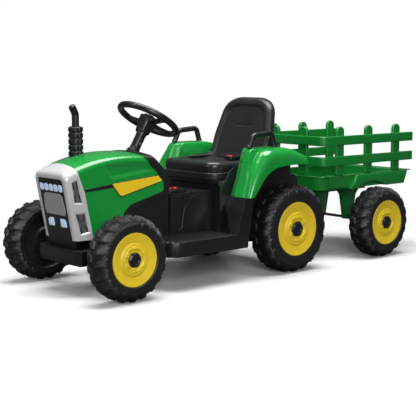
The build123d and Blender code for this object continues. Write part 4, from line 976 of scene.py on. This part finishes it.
# Lap belt: two webbing straps over the cushion from the seat's back corners, and a buckle.
webbing = moulded("webbing", (0.012, 0.012, 0.013), 0.75, grain=1400.0, depth=0.0003)
buckle_black = moulded("buckle_black", (0.009, 0.009, 0.01), 0.28)
strap_width, strap_thickness = 0.025, 0.0018
route = evenly(rounded_path([(0.06, 0.347), (0.07, 0.3392), (0.156, 0.3384)], [0.012]), 50)
strap_edge = rounded_loop(box_corners(-strap_thickness / 2, strap_thickness / 2, -strap_width / 2, strap_width / 2),
                          0.0008)
for hand, side in both_hands:
    strap = surface(f"{hand}_strap", swept(along_side(route, side * 0.092), (0, 1, 0), strap_edge), webbing,
                    ends=True, sharp=50, replaces=("seat_belt",))
buckle = slab(rounded_loop(box_corners(0.12, 0.164, 0.075, 0.109), 0.005), plate_edge(0.3395, 0.35, 0.0025))
surface("buckle", from_rear_axle + buckle, buckle_black)
key = slab(rounded_loop(box_corners(0.146, 0.16, 0.085, 0.099), 0.003), plate_edge(0.3495, 0.3515, 0.0008))
surface("buckle_key", from_rear_axle + key, switch_red)

# Trailer: the tub, drawbar and axle bracket are green mouldings with rounded edges. Two rails bend
# round the load bed's front corners, and eight posts with rounded heads stand inside them.
trailer_green = moulded("trailer_green", (0.005, 0.175, 0.024), 0.3, shade=0.05, patchiness=0.04,
                        grain=400.0, depth=0.00002, coat=0.2)
soft_edged("tub", "trailer_tub", 0.003, trailer_green, "trailer")
soft_edged("bracket", "axle_bracket", 0.003, trailer_green, "trailer")
soft_edged("tow_bar", "drawbar", 0.002, trailer_green, "trailer")
rail_half, rail_tip = 0.004, 0.003
plan = rounded_path([(-0.2158, -0.157), (0.227, -0.157), (0.227, 0.157), (-0.2158, 0.157)], [0.018, 0.018])
plan = evenly(plan, 260)
run = lengths_along(plan)
tip = np.clip(np.minimum(run, run[-1] - run) / rail_tip, 0, 1)
drawn_in = rail_tip * (1 - np.sqrt(1 - (1 - tip) ** 2))
for level, low, high in (("low", 0.301, 0.331), ("high", 0.365, 0.395)):
    line = np.stack([trailer_x + plan[:, 0], plan[:, 1], np.full(len(plan), (low + high) / 2)], axis=1)
    board = rounded_loop(box_corners(-rail_half, rail_half, (low - high) / 2, (high - low) / 2), 0.0032)
    surface(f"{level}_rail", swept(line, (0, 0, 1), board + drawn_in[:, None, None] * inset_of(board)),
            trailer_green, "trailer", ends=True, sharp=50, replaces=("fence_rails",))
post_half, post_low, post_high = 0.018, 0.268, 0.424
posts = [(f"{hand}_post_{number}", (trailer_x + t, side * 0.141, 0), (1, 0, 0), (0, side, 0))
         for hand, side in both_hands for number, t in enumerate((0.142, 0.003, -0.137))]
posts += [(f"{hand}_front_post", (trailer_x + 0.211, side * 0.063, 0), (0, 1, 0), (1, 0, 0))
          for hand, side in both_hands]
post_loop = rounded_loop(box_corners(-post_half, post_half, post_low, post_high), [0.006, 0.006, 0.016, 0.016])
post_form = slab(post_loop, plate_edge(0.0, 0.012, 0.0045))
for name, origin, along, out in posts:
    post = np.array(origin) + post_form @ np.array([along, (0, 0, 1), out], float)
    surface(name, post, trailer_green, "trailer", sharp=60, replaces=("fence_posts",))
